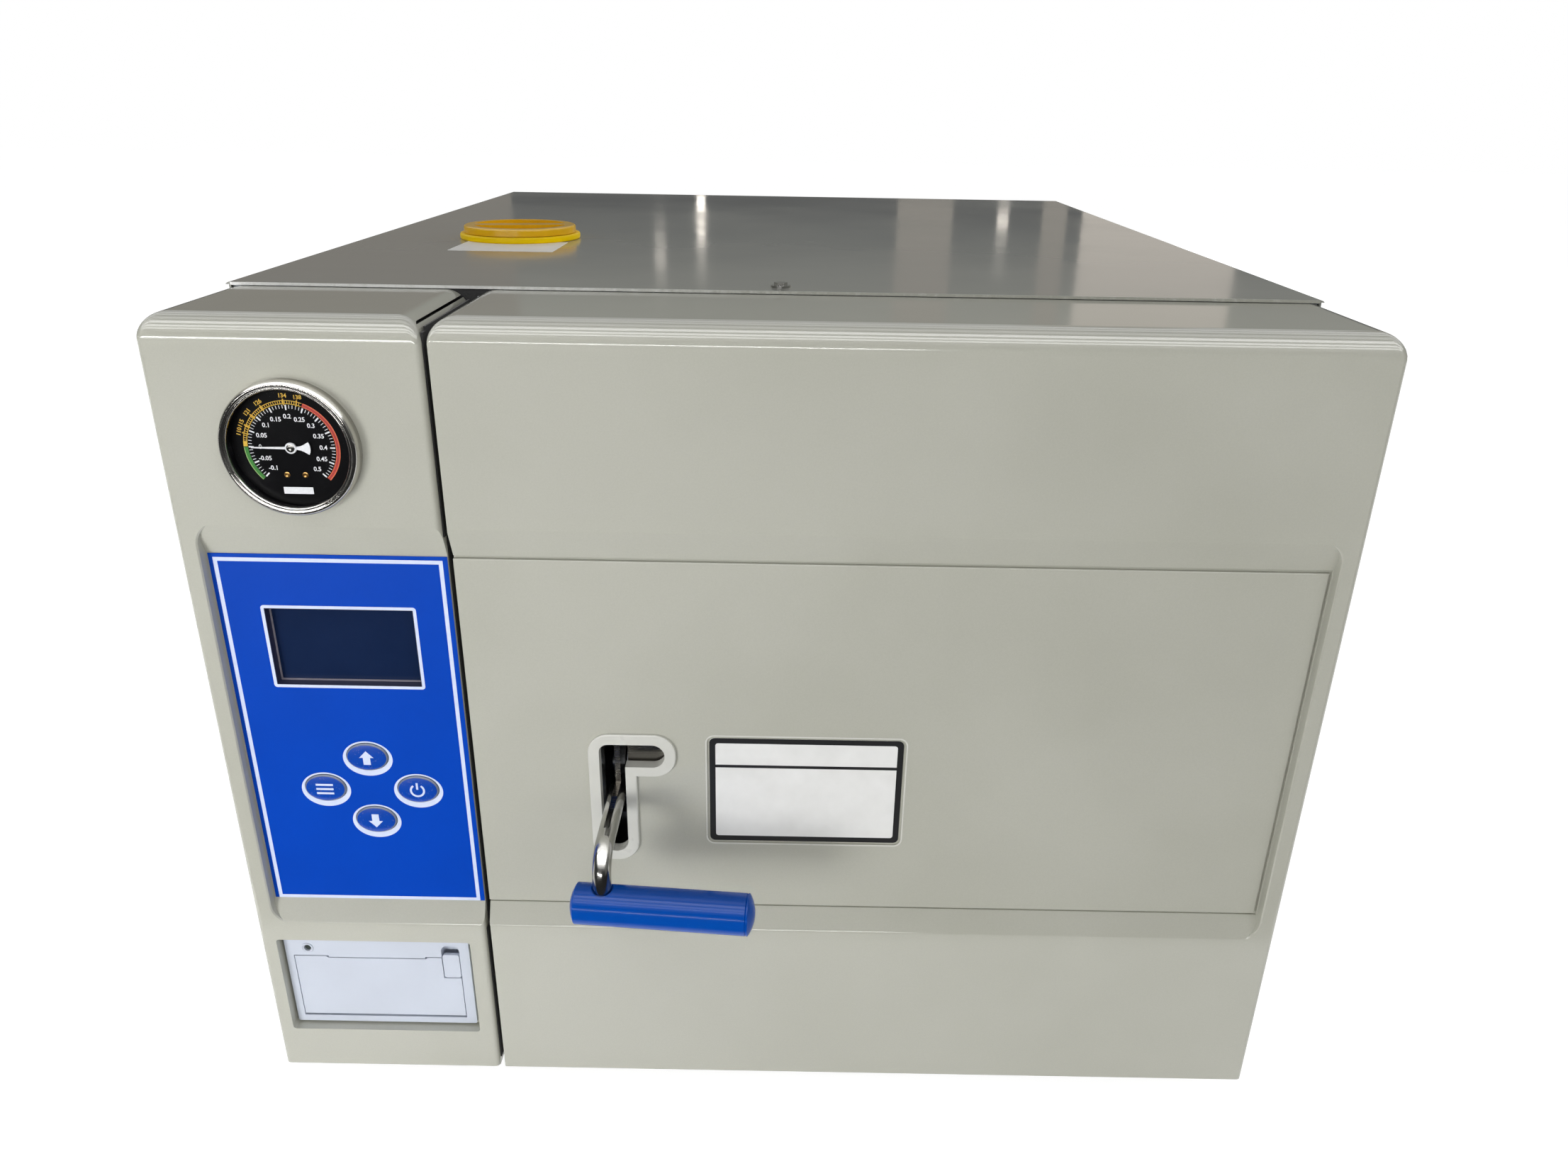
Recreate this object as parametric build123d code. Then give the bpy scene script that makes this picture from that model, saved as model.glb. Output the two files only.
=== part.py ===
from build123d import *
import math
import os

# Benchtop steam autoclave. Millimetres. Sizes are written from the front panel's lower left front
# corner: x to the right, y to the back, z up. write() moves each piece to the part's own frame:
# x centred, z = 0 under the feet, y = 0 at the middle of the overall depth, front facing -y.

# ---- driving dimensions: housing -----------------------------------------------------------
WIDTH = 600.0            # over the front mouldings
PANEL_HEIGHT = 464.0     # front mouldings, bottom to top
BODY_DEPTH = 764.0       # front face to the back edge of the cover
FOOT_HEIGHT = 12.0
SHELL_WIDTH = 134.5      # control shell, left of the door
DOOR_GAP = 3.0
FRONT_DEPTH = 90.0       # depth of the mouldings
WALL = 3.0               # moulded wall
TOP_EDGE_RADIUS = 12.0
SIDE_EDGE_RADIUS = 3.0
REAR_EDGE_RADIUS = 4.0
COVER_SHEET = 1.2
COVER_INSET = 3.0
COVER_LIFT = 0.6         # under the cover's top sheet, over the mouldings
SEAM_GAP = 5.0           # mouldings to the cover's sides, room for the door's turning corner
FRAME_SHEET = 2.5
FRAME_GAP = 7.0          # mouldings to the front frame
FIT = 0.3                # running and assembly clearance

# ---- driving dimensions: recessed fascia ---------------------------------------------------
RECESS_DROP = 104.5      # recess edge below the mouldings' top
RECESS_BOTTOM = 110.4
RECESS_SIDE = 10.0       # recess edge in from the housing's sides
RECESS_RADIUS = 12.0
RECESS_DEPTH = 6.5
RECESS_LIP = 2.5         # rounding of the recess's upper and lower edges
RECESS_EASE = 0.7        # easing of its side edges
TOP_SLOPE = 16.5         # height of the sloping band above the fascia
BOTTOM_SLOPE = 13.0
GROOVE_DEPTH = 2.0       # shadow line round the door's fascia panel
GROOVE_WIDTH = 1.6

# ---- driving dimensions: control shell -----------------------------------------------------
GAUGE_X = 66.8
GAUGE_DROP = 62.9        # gauge's axis below the mouldings' top
GAUGE_CASE_RADIUS = 31.0
BEZEL_RIM = 3.0          # bezel beyond the case
BEZEL_DEPTH = 8.0
DIAL_LEDGE = 1.6         # case beyond the dial
OVERLAY_SHEET = 0.5
OVERLAY_MARGIN = 1.0
DISPLAY_X = 74.05
DISPLAY_DROP = 54.2      # window's centre below the fascia's top
DISPLAY_WIDTH = 78.3
DISPLAY_HEIGHT = 45.2
DISPLAY_SINK = 5.0
KEY_CENTRE_X = 77.8
KEY_PLACE = 0.543        # keys' centre, up the room below the window
KEY_PITCH_X = 26.0
KEY_PITCH_Z = 20.65
KEY_RADIUS_X = 11.6
KEY_RADIUS_Z = 8.6
KEY_TRAVEL = 0.8
PRINTER_X = 10.5
PRINTER_Z = 29.7
PRINTER_WIDTH = 111.0
PRINTER_HEIGHT = 64.5
PRINTER_BODY_DEPTH = 58.0
PRINTER_EYE = 2.2        # radius of the lamp's hole
POCKET_DEPTH = 8.0
POCKET_MARGIN = 1.5
PAPER_RADIUS = 18.0
PAPER_WIDTH = 56.0

# ---- driving dimensions: chamber -----------------------------------------------------------
CHAMBER_BORE = 300.0
CHAMBER_WALL = 2.5
CHAMBER_LENGTH = 550.0
CHAMBER_DROP = 7.0       # chamber's axis below the housing's middle
HEAD_RADIUS = 60.0
FLANGE_WIDTH = 20.0
FLANGE_THICKNESS = 6.0
FLANGE_RIGHT = 26.0      # flange edge in from the housing's right side
HEATER_THICKNESS = 3.5
JACKET_THICKNESS = 20.0
TRAY_ROOM = 100.0        # bore's width over the trays' width
TRAY_DEPTH = 460.0
TRAY_HEIGHT = 18.0
TRAY_PITCH = 60.0
TRAY_COUNT = 3
TRAY_SHEET = 1.0
RACK_SILL = 5.0

# ---- driving dimensions: door, hinge and handle --------------------------------------------
HINGE_INSET_X = 7.5      # hinge axis in from the door's right side
HINGE_INSET_Y = 4.5      # hinge axis in front of the door's back edge
KNUCKLE_RADIUS = 4.0
KNUCKLE_LENGTH = 18.0
PIN_RADIUS = 2.0
HINGE_FOOT = 80.0        # lower hinge above the mouldings' bottom
HINGE_HEAD = 98.0        # upper hinge below the mouldings' top
SLOT_LEFT = 207.1
SLOT_ABOVE = 36.4        # slot's top above the rod
SLOT_BELOW = 34.0        # slot's bottom below the rod
SLOT_WIDTH = 14.2
ARM_RIGHT = 243.4
RIM_WIDTH = 6.2
RIM_HEIGHT = 2.0
ROD_RADIUS = 5.0
ROD_ASIDE = 0.9          # rod right of the slot's middle
ROD_DROP = 28.0          # rod below the chamber's axis
ELBOW_RADIUS = 14.0
GRIP_RADIUS = 11.0
GRIP_LENGTH = 98.4
GRIP_DOME = 3.3          # height of the grip's domed ends
GRIP_EDGE = 0.7          # rounding between a dome and the grip's side
GRIP_CAP_LENGTH = 4.4
GRIP_SEAM = 0.35         # chamfer on each side of the cap's joint
ROD_COLLAR_GAP = 0.8     # counterbore round the rod where it enters the grip
ROD_COLLAR_DEPTH = 1.8
GRIP_Y = -50.0
GRIP_DROP = 29.0         # grip's axis below the rod
GRIP_OVERHANG = 17.5     # grip's left end to the rod
GRIP_TURN = -4.5         # degrees about the rod, its right end towards the user
PIVOT_Y = 45.0
LEVER_THICKNESS = 3.0
KEEPER_Y = 32.0          # keeper pin behind the lever's pivot
KEEPER_Z = 2.0           # keeper pin above the lever's pivot
KEEPER_RADIUS = 4.0
HOOK_GAP = 1.5           # hook's inner face to the keeper pin
HOOK_WIDTH = 7.0
LABEL_X = 268.0
LABEL_DROP = 27.0        # label's bottom edge below the rod
LABEL_WIDTH = 107.5
LABEL_HEIGHT = 67.3

# ---- driving dimensions: top, rear and inside ----------------------------------------------
FILLER_X = 111.0
FILLER_Y = 325.0
NECK_RADIUS = 37.0
NECK_WALL = 2.5
NECK_FLANGE_RADIUS = 42.75
NECK_FLANGE_HEIGHT = 4.2
CAP_RADIUS = 39.75
CAP_HEIGHT = 5.0
CAP_POCKET_DEPTH = 3.4
TANK_WALL = 3.0
FAN_RADIUS = 57.0
FAN_X = 500.0
FAN_DROP = 104.0         # fan's axis below the mouldings' top
INLET_X = 70.0
INLET_Z = 70.0
DRAIN_X = 180.0
DRAIN_Z = 60.0
SPIGOT_RADIUS = 6.0
SPIGOT_LENGTH = 22.0
VALVE_RIGHT = -50.0      # safety valve from the chamber's axis
VALVE_ABOVE = 60.0
PROBE_ABOVE = 82.0       # temperature probe over the chamber's axis

# ---- derived sizes -------------------------------------------------------------------------
DOOR_LEFT = SHELL_WIDTH + DOOR_GAP
RECESS_TOP = PANEL_HEIGHT - RECESS_DROP
FASCIA_TOP = RECESS_TOP - TOP_SLOPE
FASCIA_BOTTOM = RECESS_BOTTOM + BOTTOM_SLOPE
GAUGE_Z = PANEL_HEIGHT - GAUGE_DROP
BEZEL_RADIUS = GAUGE_CASE_RADIUS + BEZEL_RIM
DIAL_RADIUS = GAUGE_CASE_RADIUS - DIAL_LEDGE
DISPLAY_Z = FASCIA_TOP - DISPLAY_DROP
KEY_ROOM = DISPLAY_Z - DISPLAY_HEIGHT / 2 - FASCIA_BOTTOM
KEY_CENTRE_Z = FASCIA_BOTTOM + KEY_PLACE * KEY_ROOM
CHAMBER_Z = PANEL_HEIGHT / 2 - CHAMBER_DROP
TRAY_WIDTH = CHAMBER_BORE - TRAY_ROOM
HINGE_HEIGHTS = (HINGE_FOOT, PANEL_HEIGHT - HINGE_HEAD)
ROD_Z = CHAMBER_Z - ROD_DROP
SLOT_TOP = ROD_Z + SLOT_ABOVE
SLOT_BOTTOM = ROD_Z - SLOT_BELOW
GRIP_Z = ROD_Z - GRIP_DROP
LABEL_Z = ROD_Z - LABEL_DROP
FAN_Z = PANEL_HEIGHT - FAN_DROP
COVER_TOP = PANEL_HEIGHT + COVER_LIFT + COVER_SHEET
COVER_FRONT = FRONT_DEPTH + SEAM_GAP
COVER_LEFT = COVER_INSET
COVER_RIGHT = WIDTH - COVER_INSET
INNER_LEFT = COVER_LEFT + COVER_SHEET
INNER_RIGHT = COVER_RIGHT - COVER_SHEET
FRAME_Y = FRONT_DEPTH + FRAME_GAP
FRAME_BACK = FRAME_Y + FRAME_SHEET
REAR_Y = BODY_DEPTH - 5.0
FLOOR_Z = 1.5
CHAMBER_OUTER = CHAMBER_BORE / 2 + CHAMBER_WALL
FLANGE_RADIUS = CHAMBER_OUTER + FLANGE_WIDTH
CHAMBER_X = WIDTH - FLANGE_RIGHT - FLANGE_RADIUS
FLANGE_FRONT = FRAME_Y - FLANGE_THICKNESS
CHAMBER_BACK = FLANGE_FRONT + CHAMBER_LENGTH
JACKET_INNER = CHAMBER_OUTER + HEATER_THICKNESS
JACKET_OUTER = JACKET_INNER + JACKET_THICKNESS
HINGE_X = WIDTH - HINGE_INSET_X
HINGE_Y = FRONT_DEPTH - HINGE_INSET_Y
FASCIA_Y = RECESS_DEPTH - 1.0
SLOT_RIGHT = SLOT_LEFT + SLOT_WIDTH
ARM_BOTTOM = SLOT_TOP - SLOT_WIDTH
ROD_X = SLOT_LEFT + SLOT_WIDTH / 2 + ROD_ASIDE
GRIP_LEFT = ROD_X - GRIP_OVERHANG
KEEPER_REACH = math.hypot(KEEPER_Y, KEEPER_Z)
HOOK_INNER = KEEPER_REACH + KEEPER_RADIUS + HOOK_GAP
HOOK_OUTER = HOOK_INNER + HOOK_WIDTH
LINER_Y = FRONT_DEPTH - 3.0
SEAL_FRONT = LINER_Y - 2.0
PLATE_RADIUS = FLANGE_RADIUS - 7.0
TANK_TOP = PANEL_HEIGHT - 8.0
REAR_REACH = REAR_Y + SPIGOT_LENGTH + 4.0
TURN = math.radians(-GRIP_TURN)
DOME_RADIUS = (GRIP_RADIUS ** 2 + GRIP_DOME ** 2) / (2 * GRIP_DOME)
DOME_CORNER = math.acos(GRIP_RADIUS / DOME_RADIUS)
GRIP_STRAIGHT = GRIP_LENGTH - GRIP_OVERHANG - GRIP_DOME - GRIP_EDGE * math.tan(DOME_CORNER / 2)
FRONT_REACH = (-GRIP_Y + GRIP_STRAIGHT * math.sin(TURN) + (GRIP_RADIUS - GRIP_EDGE) * math.cos(TURN)
               + GRIP_EDGE)
SHIFT = Pos(-WIDTH / 2, (FRONT_REACH - REAR_REACH) / 2, FOOT_HEIGHT)


# ---- drawing helpers -----------------------------------------------------------------------
def block(x0, x1, y0, y1, z0, z1):
    """Box between two corners."""
    return Pos((x0 + x1) / 2, (y0 + y1) / 2, (z0 + z1) / 2) * Box(x1 - x0, y1 - y0, z1 - z0)


def slab(sketch, y0, y1):
    """Sketch drawn in (x, z), from y0 back to y1."""
    return extrude(Plane.XZ.offset(-y1) * sketch, amount=y1 - y0)


def sheet_x(sketch, x0, x1):
    """Sketch drawn in (y, z), from x0 to x1."""
    return extrude(Plane.YZ.offset(x0) * sketch, amount=x1 - x0)


def disc_y(x, z, radius, y0, y1):
    return slab(Pos(x, z) * Circle(radius), y0, y1)


def disc_x(y, z, radius, x0, x1):
    return sheet_x(Pos(y, z) * Circle(radius), x0, x1)


def disc_z(x, y, radius, z0, z1):
    return Pos(x, y, (z0 + z1) / 2) * Cylinder(radius, z1 - z0)


def rect(x0, x1, z0, z1, radius=0.0):
    """Rectangle by its edges, with rounded corners."""
    shape = RectangleRounded(x1 - x0, z1 - z0, radius) if radius else Rectangle(x1 - x0, z1 - z0)
    return Pos((x0 + x1) / 2, (z0 + z1) / 2) * shape


def outline(*points):
    return make_face(Polyline(*points, close=True))


def polar(radius, degrees):
    return (radius * math.cos(math.radians(degrees)), radius * math.sin(math.radians(degrees)))


def turned(profile, x, z):
    """Ring about an axis along y; profile points are (radius, y)."""
    face = make_face(Polyline(*profile, close=True))
    return Pos(x, 0, z) * revolve(Plane.XY * face, Axis.Y, 360)


def write(name, *solids):
    shape = solids[0] if len(solids) == 1 else Compound(list(solids))
    export_step(SHIFT * shape, "parts/" + name + ".step")


# ---- front mouldings -----------------------------------------------------------------------
def moulding(x0, x1, left_radius, right_radius):
    """Open-backed front moulding with its rounded edges."""
    body = block(x0, x1, 0, FRONT_DEPTH, 0, PANEL_HEIGHT)
    uprights = body.edges().filter_by(Axis.Z)
    front = uprights.group_by(Axis.Y)[0].sort_by(Axis.X)
    body = fillet(front[0], left_radius)
    front = body.edges().filter_by(Axis.Z).group_by(Axis.Y)[0].sort_by(Axis.X)
    body = fillet(front[-1], right_radius)
    top = body.edges().filter_by(Axis.X).group_by(Axis.Z)[-1].sort_by(Axis.Y)
    body = fillet(top[0], TOP_EDGE_RADIUS)
    room = block(x0 + WALL, x1 - WALL, WALL, FRONT_DEPTH + 1, WALL, PANEL_HEIGHT - WALL)
    edge = room.edges().filter_by(Axis.X).group_by(Axis.Z)[-1].sort_by(Axis.Y)[0]
    return body - fillet(edge, TOP_EDGE_RADIUS - WALL)


def recess_cut(depth):
    """Room in front of the recessed fascia, across both mouldings, with eased edges."""
    front = rect(RECESS_SIDE, WIDTH - RECESS_SIDE, RECESS_BOTTOM - 0.5, RECESS_TOP + 0.5, RECESS_RADIUS)
    low, high = RECESS_BOTTOM - RECESS_RADIUS, RECESS_TOP + RECESS_RADIUS
    section = make_face(FilletPolyline(
        (-1, low), (0, low), (0, RECESS_BOTTOM), (depth, FASCIA_BOTTOM), (depth, FASCIA_TOP), (0, RECESS_TOP),
        (0, high), (-1, high), radius=[0, 0, RECESS_LIP, 0, 0, RECESS_LIP, 0, 0], close=True))
    room = slab(front, -1, depth) + extrude(Plane.XZ.offset(-RECESS_EASE) * front, amount=RECESS_EASE, taper=-45)
    return room & sheet_x(section, 0, WIDTH)


def recess_backing(x0, x1, depth):
    """Extra wall behind the recess, so that the moulding keeps its thickness."""
    return block(x0, x1, WALL - 0.5, depth + WALL, RECESS_BOTTOM - 2, RECESS_TOP + 2)


def control_shell():
    shell = moulding(0, SHELL_WIDTH, SIDE_EDGE_RADIUS, SIDE_EDGE_RADIUS)
    shell += recess_backing(WALL - 0.5, SHELL_WIDTH - WALL + 0.5, RECESS_DEPTH)
    pocket_back = POCKET_DEPTH + WALL
    x0, x1 = PRINTER_X - POCKET_MARGIN, PRINTER_X + PRINTER_WIDTH + 2 * POCKET_MARGIN
    z0, z1 = PRINTER_Z - POCKET_MARGIN, PRINTER_Z + PRINTER_HEIGHT + 2 * POCKET_MARGIN
    shell += block(x0 - WALL, x1 + WALL, WALL - 0.5, pocket_back, z0 - WALL, z1 + WALL)
    for x in (12.0, SHELL_WIDTH - 12.0):
        for z in (14.0, PANEL_HEIGHT - 14.0):
            shell += disc_y(x, z, 5, WALL - 0.5, FRAME_Y)
    shell -= recess_cut(RECESS_DEPTH)
    shell -= slab(rect(x0, x1, z0, z1, 2), -1, POCKET_DEPTH)
    shell -= block(PRINTER_X + 4 - FIT, PRINTER_X + PRINTER_WIDTH - 4 + FIT, 0, pocket_back + 1,
                   PRINTER_Z + 3 - FIT, PRINTER_Z + PRINTER_HEIGHT - 3 + FIT)
    shell -= disc_y(GAUGE_X, GAUGE_Z, GAUGE_CASE_RADIUS + FIT, -1, RECESS_DEPTH + 6)
    shell -= display_window(FIT, 0, RECESS_DEPTH + WALL + 1)
    for x, z in key_places().values():
        shell -= slab(Pos(x, z) * Ellipse(KEY_RADIUS_X + FIT, KEY_RADIUS_Z + FIT), 0,
                      RECESS_DEPTH + WALL + 1)
    return shell


def display_window(grow, y0, y1):
    return slab(rect(DISPLAY_X - DISPLAY_WIDTH / 2 - grow, DISPLAY_X + DISPLAY_WIDTH / 2 + grow,
                     DISPLAY_Z - DISPLAY_HEIGHT / 2 - grow, DISPLAY_Z + DISPLAY_HEIGHT / 2 + grow),
                y0, y1)


def key_places():
    return {
        "key_up": (KEY_CENTRE_X, KEY_CENTRE_Z + KEY_PITCH_Z),
        "key_down": (KEY_CENTRE_X, KEY_CENTRE_Z - KEY_PITCH_Z),
        "key_left": (KEY_CENTRE_X - KEY_PITCH_X, KEY_CENTRE_Z),
        "key_right": (KEY_CENTRE_X + KEY_PITCH_X, KEY_CENTRE_Z),
    }


def overlay():
    """Printed sheet on the recessed fascia, with the window and the key holes."""
    z0 = FASCIA_BOTTOM + OVERLAY_MARGIN / 2
    z1 = FASCIA_TOP - OVERLAY_MARGIN
    face = rect(RECESS_SIDE + OVERLAY_MARGIN, SHELL_WIDTH - 0.2, z0, z1)
    sheet = slab(face, RECESS_DEPTH - OVERLAY_SHEET, RECESS_DEPTH)
    sheet -= display_window(0, 0, RECESS_DEPTH + 1)
    for x, z in key_places().values():
        sheet -= slab(Pos(x, z) * Ellipse(KEY_RADIUS_X + FIT, KEY_RADIUS_Z + FIT), 0, RECESS_DEPTH + 1)
    return sheet


KEY_FRONT = RECESS_DEPTH - OVERLAY_SHEET - 1.0
KEY_FLANGE = RECESS_DEPTH + WALL + FIT
KEY_BACK = KEY_FLANGE + 0.8
SWITCH_FRONT = KEY_BACK + KEY_TRAVEL + 0.1
BOARD_FRONT = SWITCH_FRONT + 3.5


def key(x, z):
    """Elliptical key with a domed front and a keeping flange behind the fascia."""
    cap = slab(Pos(x, z) * Ellipse(KEY_RADIUS_X, KEY_RADIUS_Z), KEY_FRONT, KEY_FLANGE + 0.1)
    cap = chamfer(cap.edges().group_by(Axis.Y)[0], 0.5)
    flange = slab(Pos(x, z) * Ellipse(KEY_RADIUS_X + 1.4, KEY_RADIUS_Z + 1.2), KEY_FLANGE, KEY_BACK)
    return cap + flange


def display_module():
    """Liquid crystal display: frame with its glass, held behind the window."""
    y0 = RECESS_DEPTH + DISPLAY_SINK
    body = display_window(2, y0, BOARD_FRONT)
    return body - display_window(-4, y0 - 1, y0 + 0.6)


def control_board():
    """Circuit board behind the keys and the display, with a switch behind each key."""
    board = block(14, SHELL_WIDTH - 8, BOARD_FRONT, BOARD_FRONT + 1.6, RECESS_BOTTOM + 24,
                  RECESS_TOP - 30)
    for x, z in key_places().values():
        board += block(x - 3, x + 3, SWITCH_FRONT, BOARD_FRONT, z - 3, z + 3)
    for x in (18.0, SHELL_WIDTH - 12):
        for z in (RECESS_BOTTOM + 28, RECESS_TOP - 34):
            board += disc_y(x, z, 3, RECESS_DEPTH + WALL, BOARD_FRONT)
    return board


# ---- pressure gauge ------------------------------------------------------------------------
DIAL_FRONT = -0.6
NEEDLE_FRONT = -3.0


def gauge_bezel():
    """Rolled ring that stands on the fascia and holds the glass."""
    profile = [(GAUGE_CASE_RADIUS, 0), (BEZEL_RADIUS, 0), (BEZEL_RADIUS, -BEZEL_DEPTH + 3.2),
               (BEZEL_RADIUS - 1.2, -BEZEL_DEPTH + 0.8), (BEZEL_RADIUS - 2.8, -BEZEL_DEPTH),
               (DIAL_RADIUS + 0.8, -BEZEL_DEPTH + 0.6), (DIAL_RADIUS, -BEZEL_DEPTH + 1.6),
               (DIAL_RADIUS, -BEZEL_DEPTH + 2), (GAUGE_CASE_RADIUS, -BEZEL_DEPTH + 2)]
    return turned(profile, GAUGE_X, GAUGE_Z)


def gauge_lens():
    return disc_y(GAUGE_X, GAUGE_Z, GAUGE_CASE_RADIUS, -BEZEL_DEPTH + 2, -BEZEL_DEPTH + 4)


def gauge_case():
    """Cup that holds the dial and the movement, with its pressure stem behind."""
    case = disc_y(GAUGE_X, GAUGE_Z, GAUGE_CASE_RADIUS, -BEZEL_DEPTH + 4, 34)
    case -= disc_y(GAUGE_X, GAUGE_Z, GAUGE_CASE_RADIUS - 1.2, -BEZEL_DEPTH + 3, 32)
    case += disc_y(GAUGE_X, GAUGE_Z, 6, 34, 50)
    case += disc_y(GAUGE_X, GAUGE_Z, 8, 6, 32.5)
    case += turned([(DIAL_RADIUS - 3, DIAL_FRONT + 0.8), (GAUGE_CASE_RADIUS - 1, DIAL_FRONT + 0.8),
                    (GAUGE_CASE_RADIUS - 1, DIAL_FRONT + 2.4), (DIAL_RADIUS - 3, DIAL_FRONT + 2.4)],
                   GAUGE_X, GAUGE_Z)
    return case - disc_y(GAUGE_X, GAUGE_Z, 1.5 + 0.05, 0, 20)


def gauge_dial():
    dial = disc_y(GAUGE_X, GAUGE_Z, DIAL_RADIUS, DIAL_FRONT, DIAL_FRONT + 0.8)
    return dial - disc_y(GAUGE_X, GAUGE_Z, 1.5 + FIT, DIAL_FRONT - 1, DIAL_FRONT + 2)


def gauge_needle():
    """Needle at zero, pointing left, with its counterweight, hub and arbor."""
    blade = outline((GAUGE_X - 19.5, GAUGE_Z), (GAUGE_X - 18, GAUGE_Z - 0.35),
                    (GAUGE_X, GAUGE_Z - 1.1), (GAUGE_X + 8, GAUGE_Z - 2.6),
                    (GAUGE_X + 8, GAUGE_Z + 2.6), (GAUGE_X, GAUGE_Z + 1.1),
                    (GAUGE_X - 18, GAUGE_Z + 0.35))
    needle = slab(blade, NEEDLE_FRONT + 0.8, NEEDLE_FRONT + 1.4)
    needle += disc_y(GAUGE_X, GAUGE_Z, 2.9, NEEDLE_FRONT, NEEDLE_FRONT + 1.6)
    return needle + disc_y(GAUGE_X, GAUGE_Z, 1.5, NEEDLE_FRONT + 1.5, 14)


# ---- printer -------------------------------------------------------------------------------
PRINTER_FACE = POCKET_DEPTH - 2.5
PRINTER_DOOR = (PRINTER_X + 5, PRINTER_X + 104.5, PRINTER_Z + 6, PRINTER_Z + 50.9)
PRINTER_HINGE_Y = PRINTER_FACE + 2.0
PRINTER_HINGE_Z = PRINTER_DOOR[2] + 1.0
LATCH = (PRINTER_DOOR[1] - 10, PRINTER_DOOR[1], PRINTER_DOOR[3] - 14.9, PRINTER_DOOR[3] + 2.3)
LATCH_GAP = 0.5
DIP_HEIGHT = 7.0         # finger dip above the latch
DIP_RADIUS = 4.5
DIP_DEPTH = 5.0
LATCH_PIVOT_Y = PRINTER_FACE + 2.4
LATCH_PIVOT_Z = LATCH[2] + 2.4
PAPER_X = PRINTER_X + 24
PAPER_Y = PRINTER_FACE + 28
PAPER_Z = PRINTER_Z + 31


def printer_frame():
    """Panel printer: face flange, housing and the bucket that the paper roll drops into."""
    x1, z1 = PRINTER_X + PRINTER_WIDTH, PRINTER_Z + PRINTER_HEIGHT
    frame = slab(rect(PRINTER_X, x1, PRINTER_Z, z1, 1.2), PRINTER_FACE, POCKET_DEPTH)
    frame += block(PRINTER_X + 4, x1 - 4, POCKET_DEPTH - 0.1, PRINTER_BODY_DEPTH, PRINTER_Z + 3, z1 - 3)
    door_x0, door_x1, door_z0, door_z1 = PRINTER_DOOR
    frame -= block(door_x0 - 0.5, door_x1 + 0.5, PRINTER_FACE - 1, PRINTER_FACE + 5, door_z0 - 1.6,
                   door_z1 + 0.6)
    frame -= block(LATCH[0] - LATCH_GAP, LATCH[1] + LATCH_GAP, PRINTER_FACE - 1, PRINTER_FACE + 9,
                   LATCH[2] - LATCH_GAP, LATCH[3] + LATCH_GAP)
    dip = rect(LATCH[0] - LATCH_GAP, LATCH[1] + LATCH_GAP, LATCH[3] - 2 * DIP_RADIUS,
               LATCH[3] + DIP_HEIGHT, DIP_RADIUS)
    frame -= slab(dip, PRINTER_FACE - 1, PRINTER_FACE + DIP_DEPTH)
    bucket = disc_x(PAPER_Y, PAPER_Z, PAPER_RADIUS + FIT, PAPER_X - FIT, PAPER_X + PAPER_WIDTH + FIT)
    mouth = block(PAPER_X - FIT, PAPER_X + PAPER_WIDTH + FIT, PRINTER_FACE + 2, PAPER_Y,
                  PAPER_Z - PAPER_RADIUS - FIT, PAPER_Z + PAPER_RADIUS + FIT)
    frame -= bucket + mouth
    for x in (door_x0 + 2, door_x1 - 6):
        ear = disc_x(PRINTER_HINGE_Y, PRINTER_HINGE_Z, 0.8, x, x + 4)
        frame += ear + block(x, x + 4, PRINTER_HINGE_Y - 0.5, PRINTER_FACE + 5.2,
                             PRINTER_HINGE_Z - 0.5, PRINTER_HINGE_Z + 0.5)
    frame += disc_x(LATCH_PIVOT_Y, LATCH_PIVOT_Z, 1.0, LATCH[0] + 0.5, LATCH[1] + 1)
    frame += block(door_x0 + 20.6, door_x1 - 20.6, PRINTER_FACE, PRINTER_FACE + 2, door_z1 - 0.6,
                   door_z1 + 0.7)
    return frame - disc_y(PRINTER_X + 13.6, z1 - 7.6, PRINTER_EYE, 0, PRINTER_FACE + 2)


def printer_door():
    """Paper door, hinged at its bottom edge, notched for the latch and the paper's exit."""
    x0, x1, z0, z1 = PRINTER_DOOR
    face = outline((x0, z0), (x1, z0), (x1, LATCH[2] - 0.6), (LATCH[0] - 0.6, LATCH[2] - 0.6),
                   (LATCH[0] - 0.6, z1), (x1 - 19, z1), (x1 - 20, z1 - 1.2), (x0 + 20, z1 - 1.2),
                   (x0 + 19, z1), (x0, z1))
    door = slab(face, PRINTER_FACE, PRINTER_FACE + 2)
    for x in (x0 + 2, x1 - 6):
        door -= block(x - FIT, x + 4 + FIT, PRINTER_FACE + 0.8, PRINTER_FACE + 3, z0 - 1, z0 + 3.2)
    return door


def printer_latch():
    x0, x1, z0, z1 = LATCH
    lever = slab(rect(x0, x1, z0, z1, 1.5), PRINTER_FACE, PRINTER_FACE + 2)
    lever += disc_x(LATCH_PIVOT_Y, LATCH_PIVOT_Z, 2.2, x0, x1)
    return lever - disc_x(LATCH_PIVOT_Y, LATCH_PIVOT_Z, 1.05, x0 - 1, x1 + 1)


def paper_roll():
    roll = disc_x(PAPER_Y, PAPER_Z, PAPER_RADIUS, PAPER_X, PAPER_X + PAPER_WIDTH)
    return roll - disc_x(PAPER_Y, PAPER_Z, 6, PAPER_X - 1, PAPER_X + PAPER_WIDTH + 1)


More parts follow.
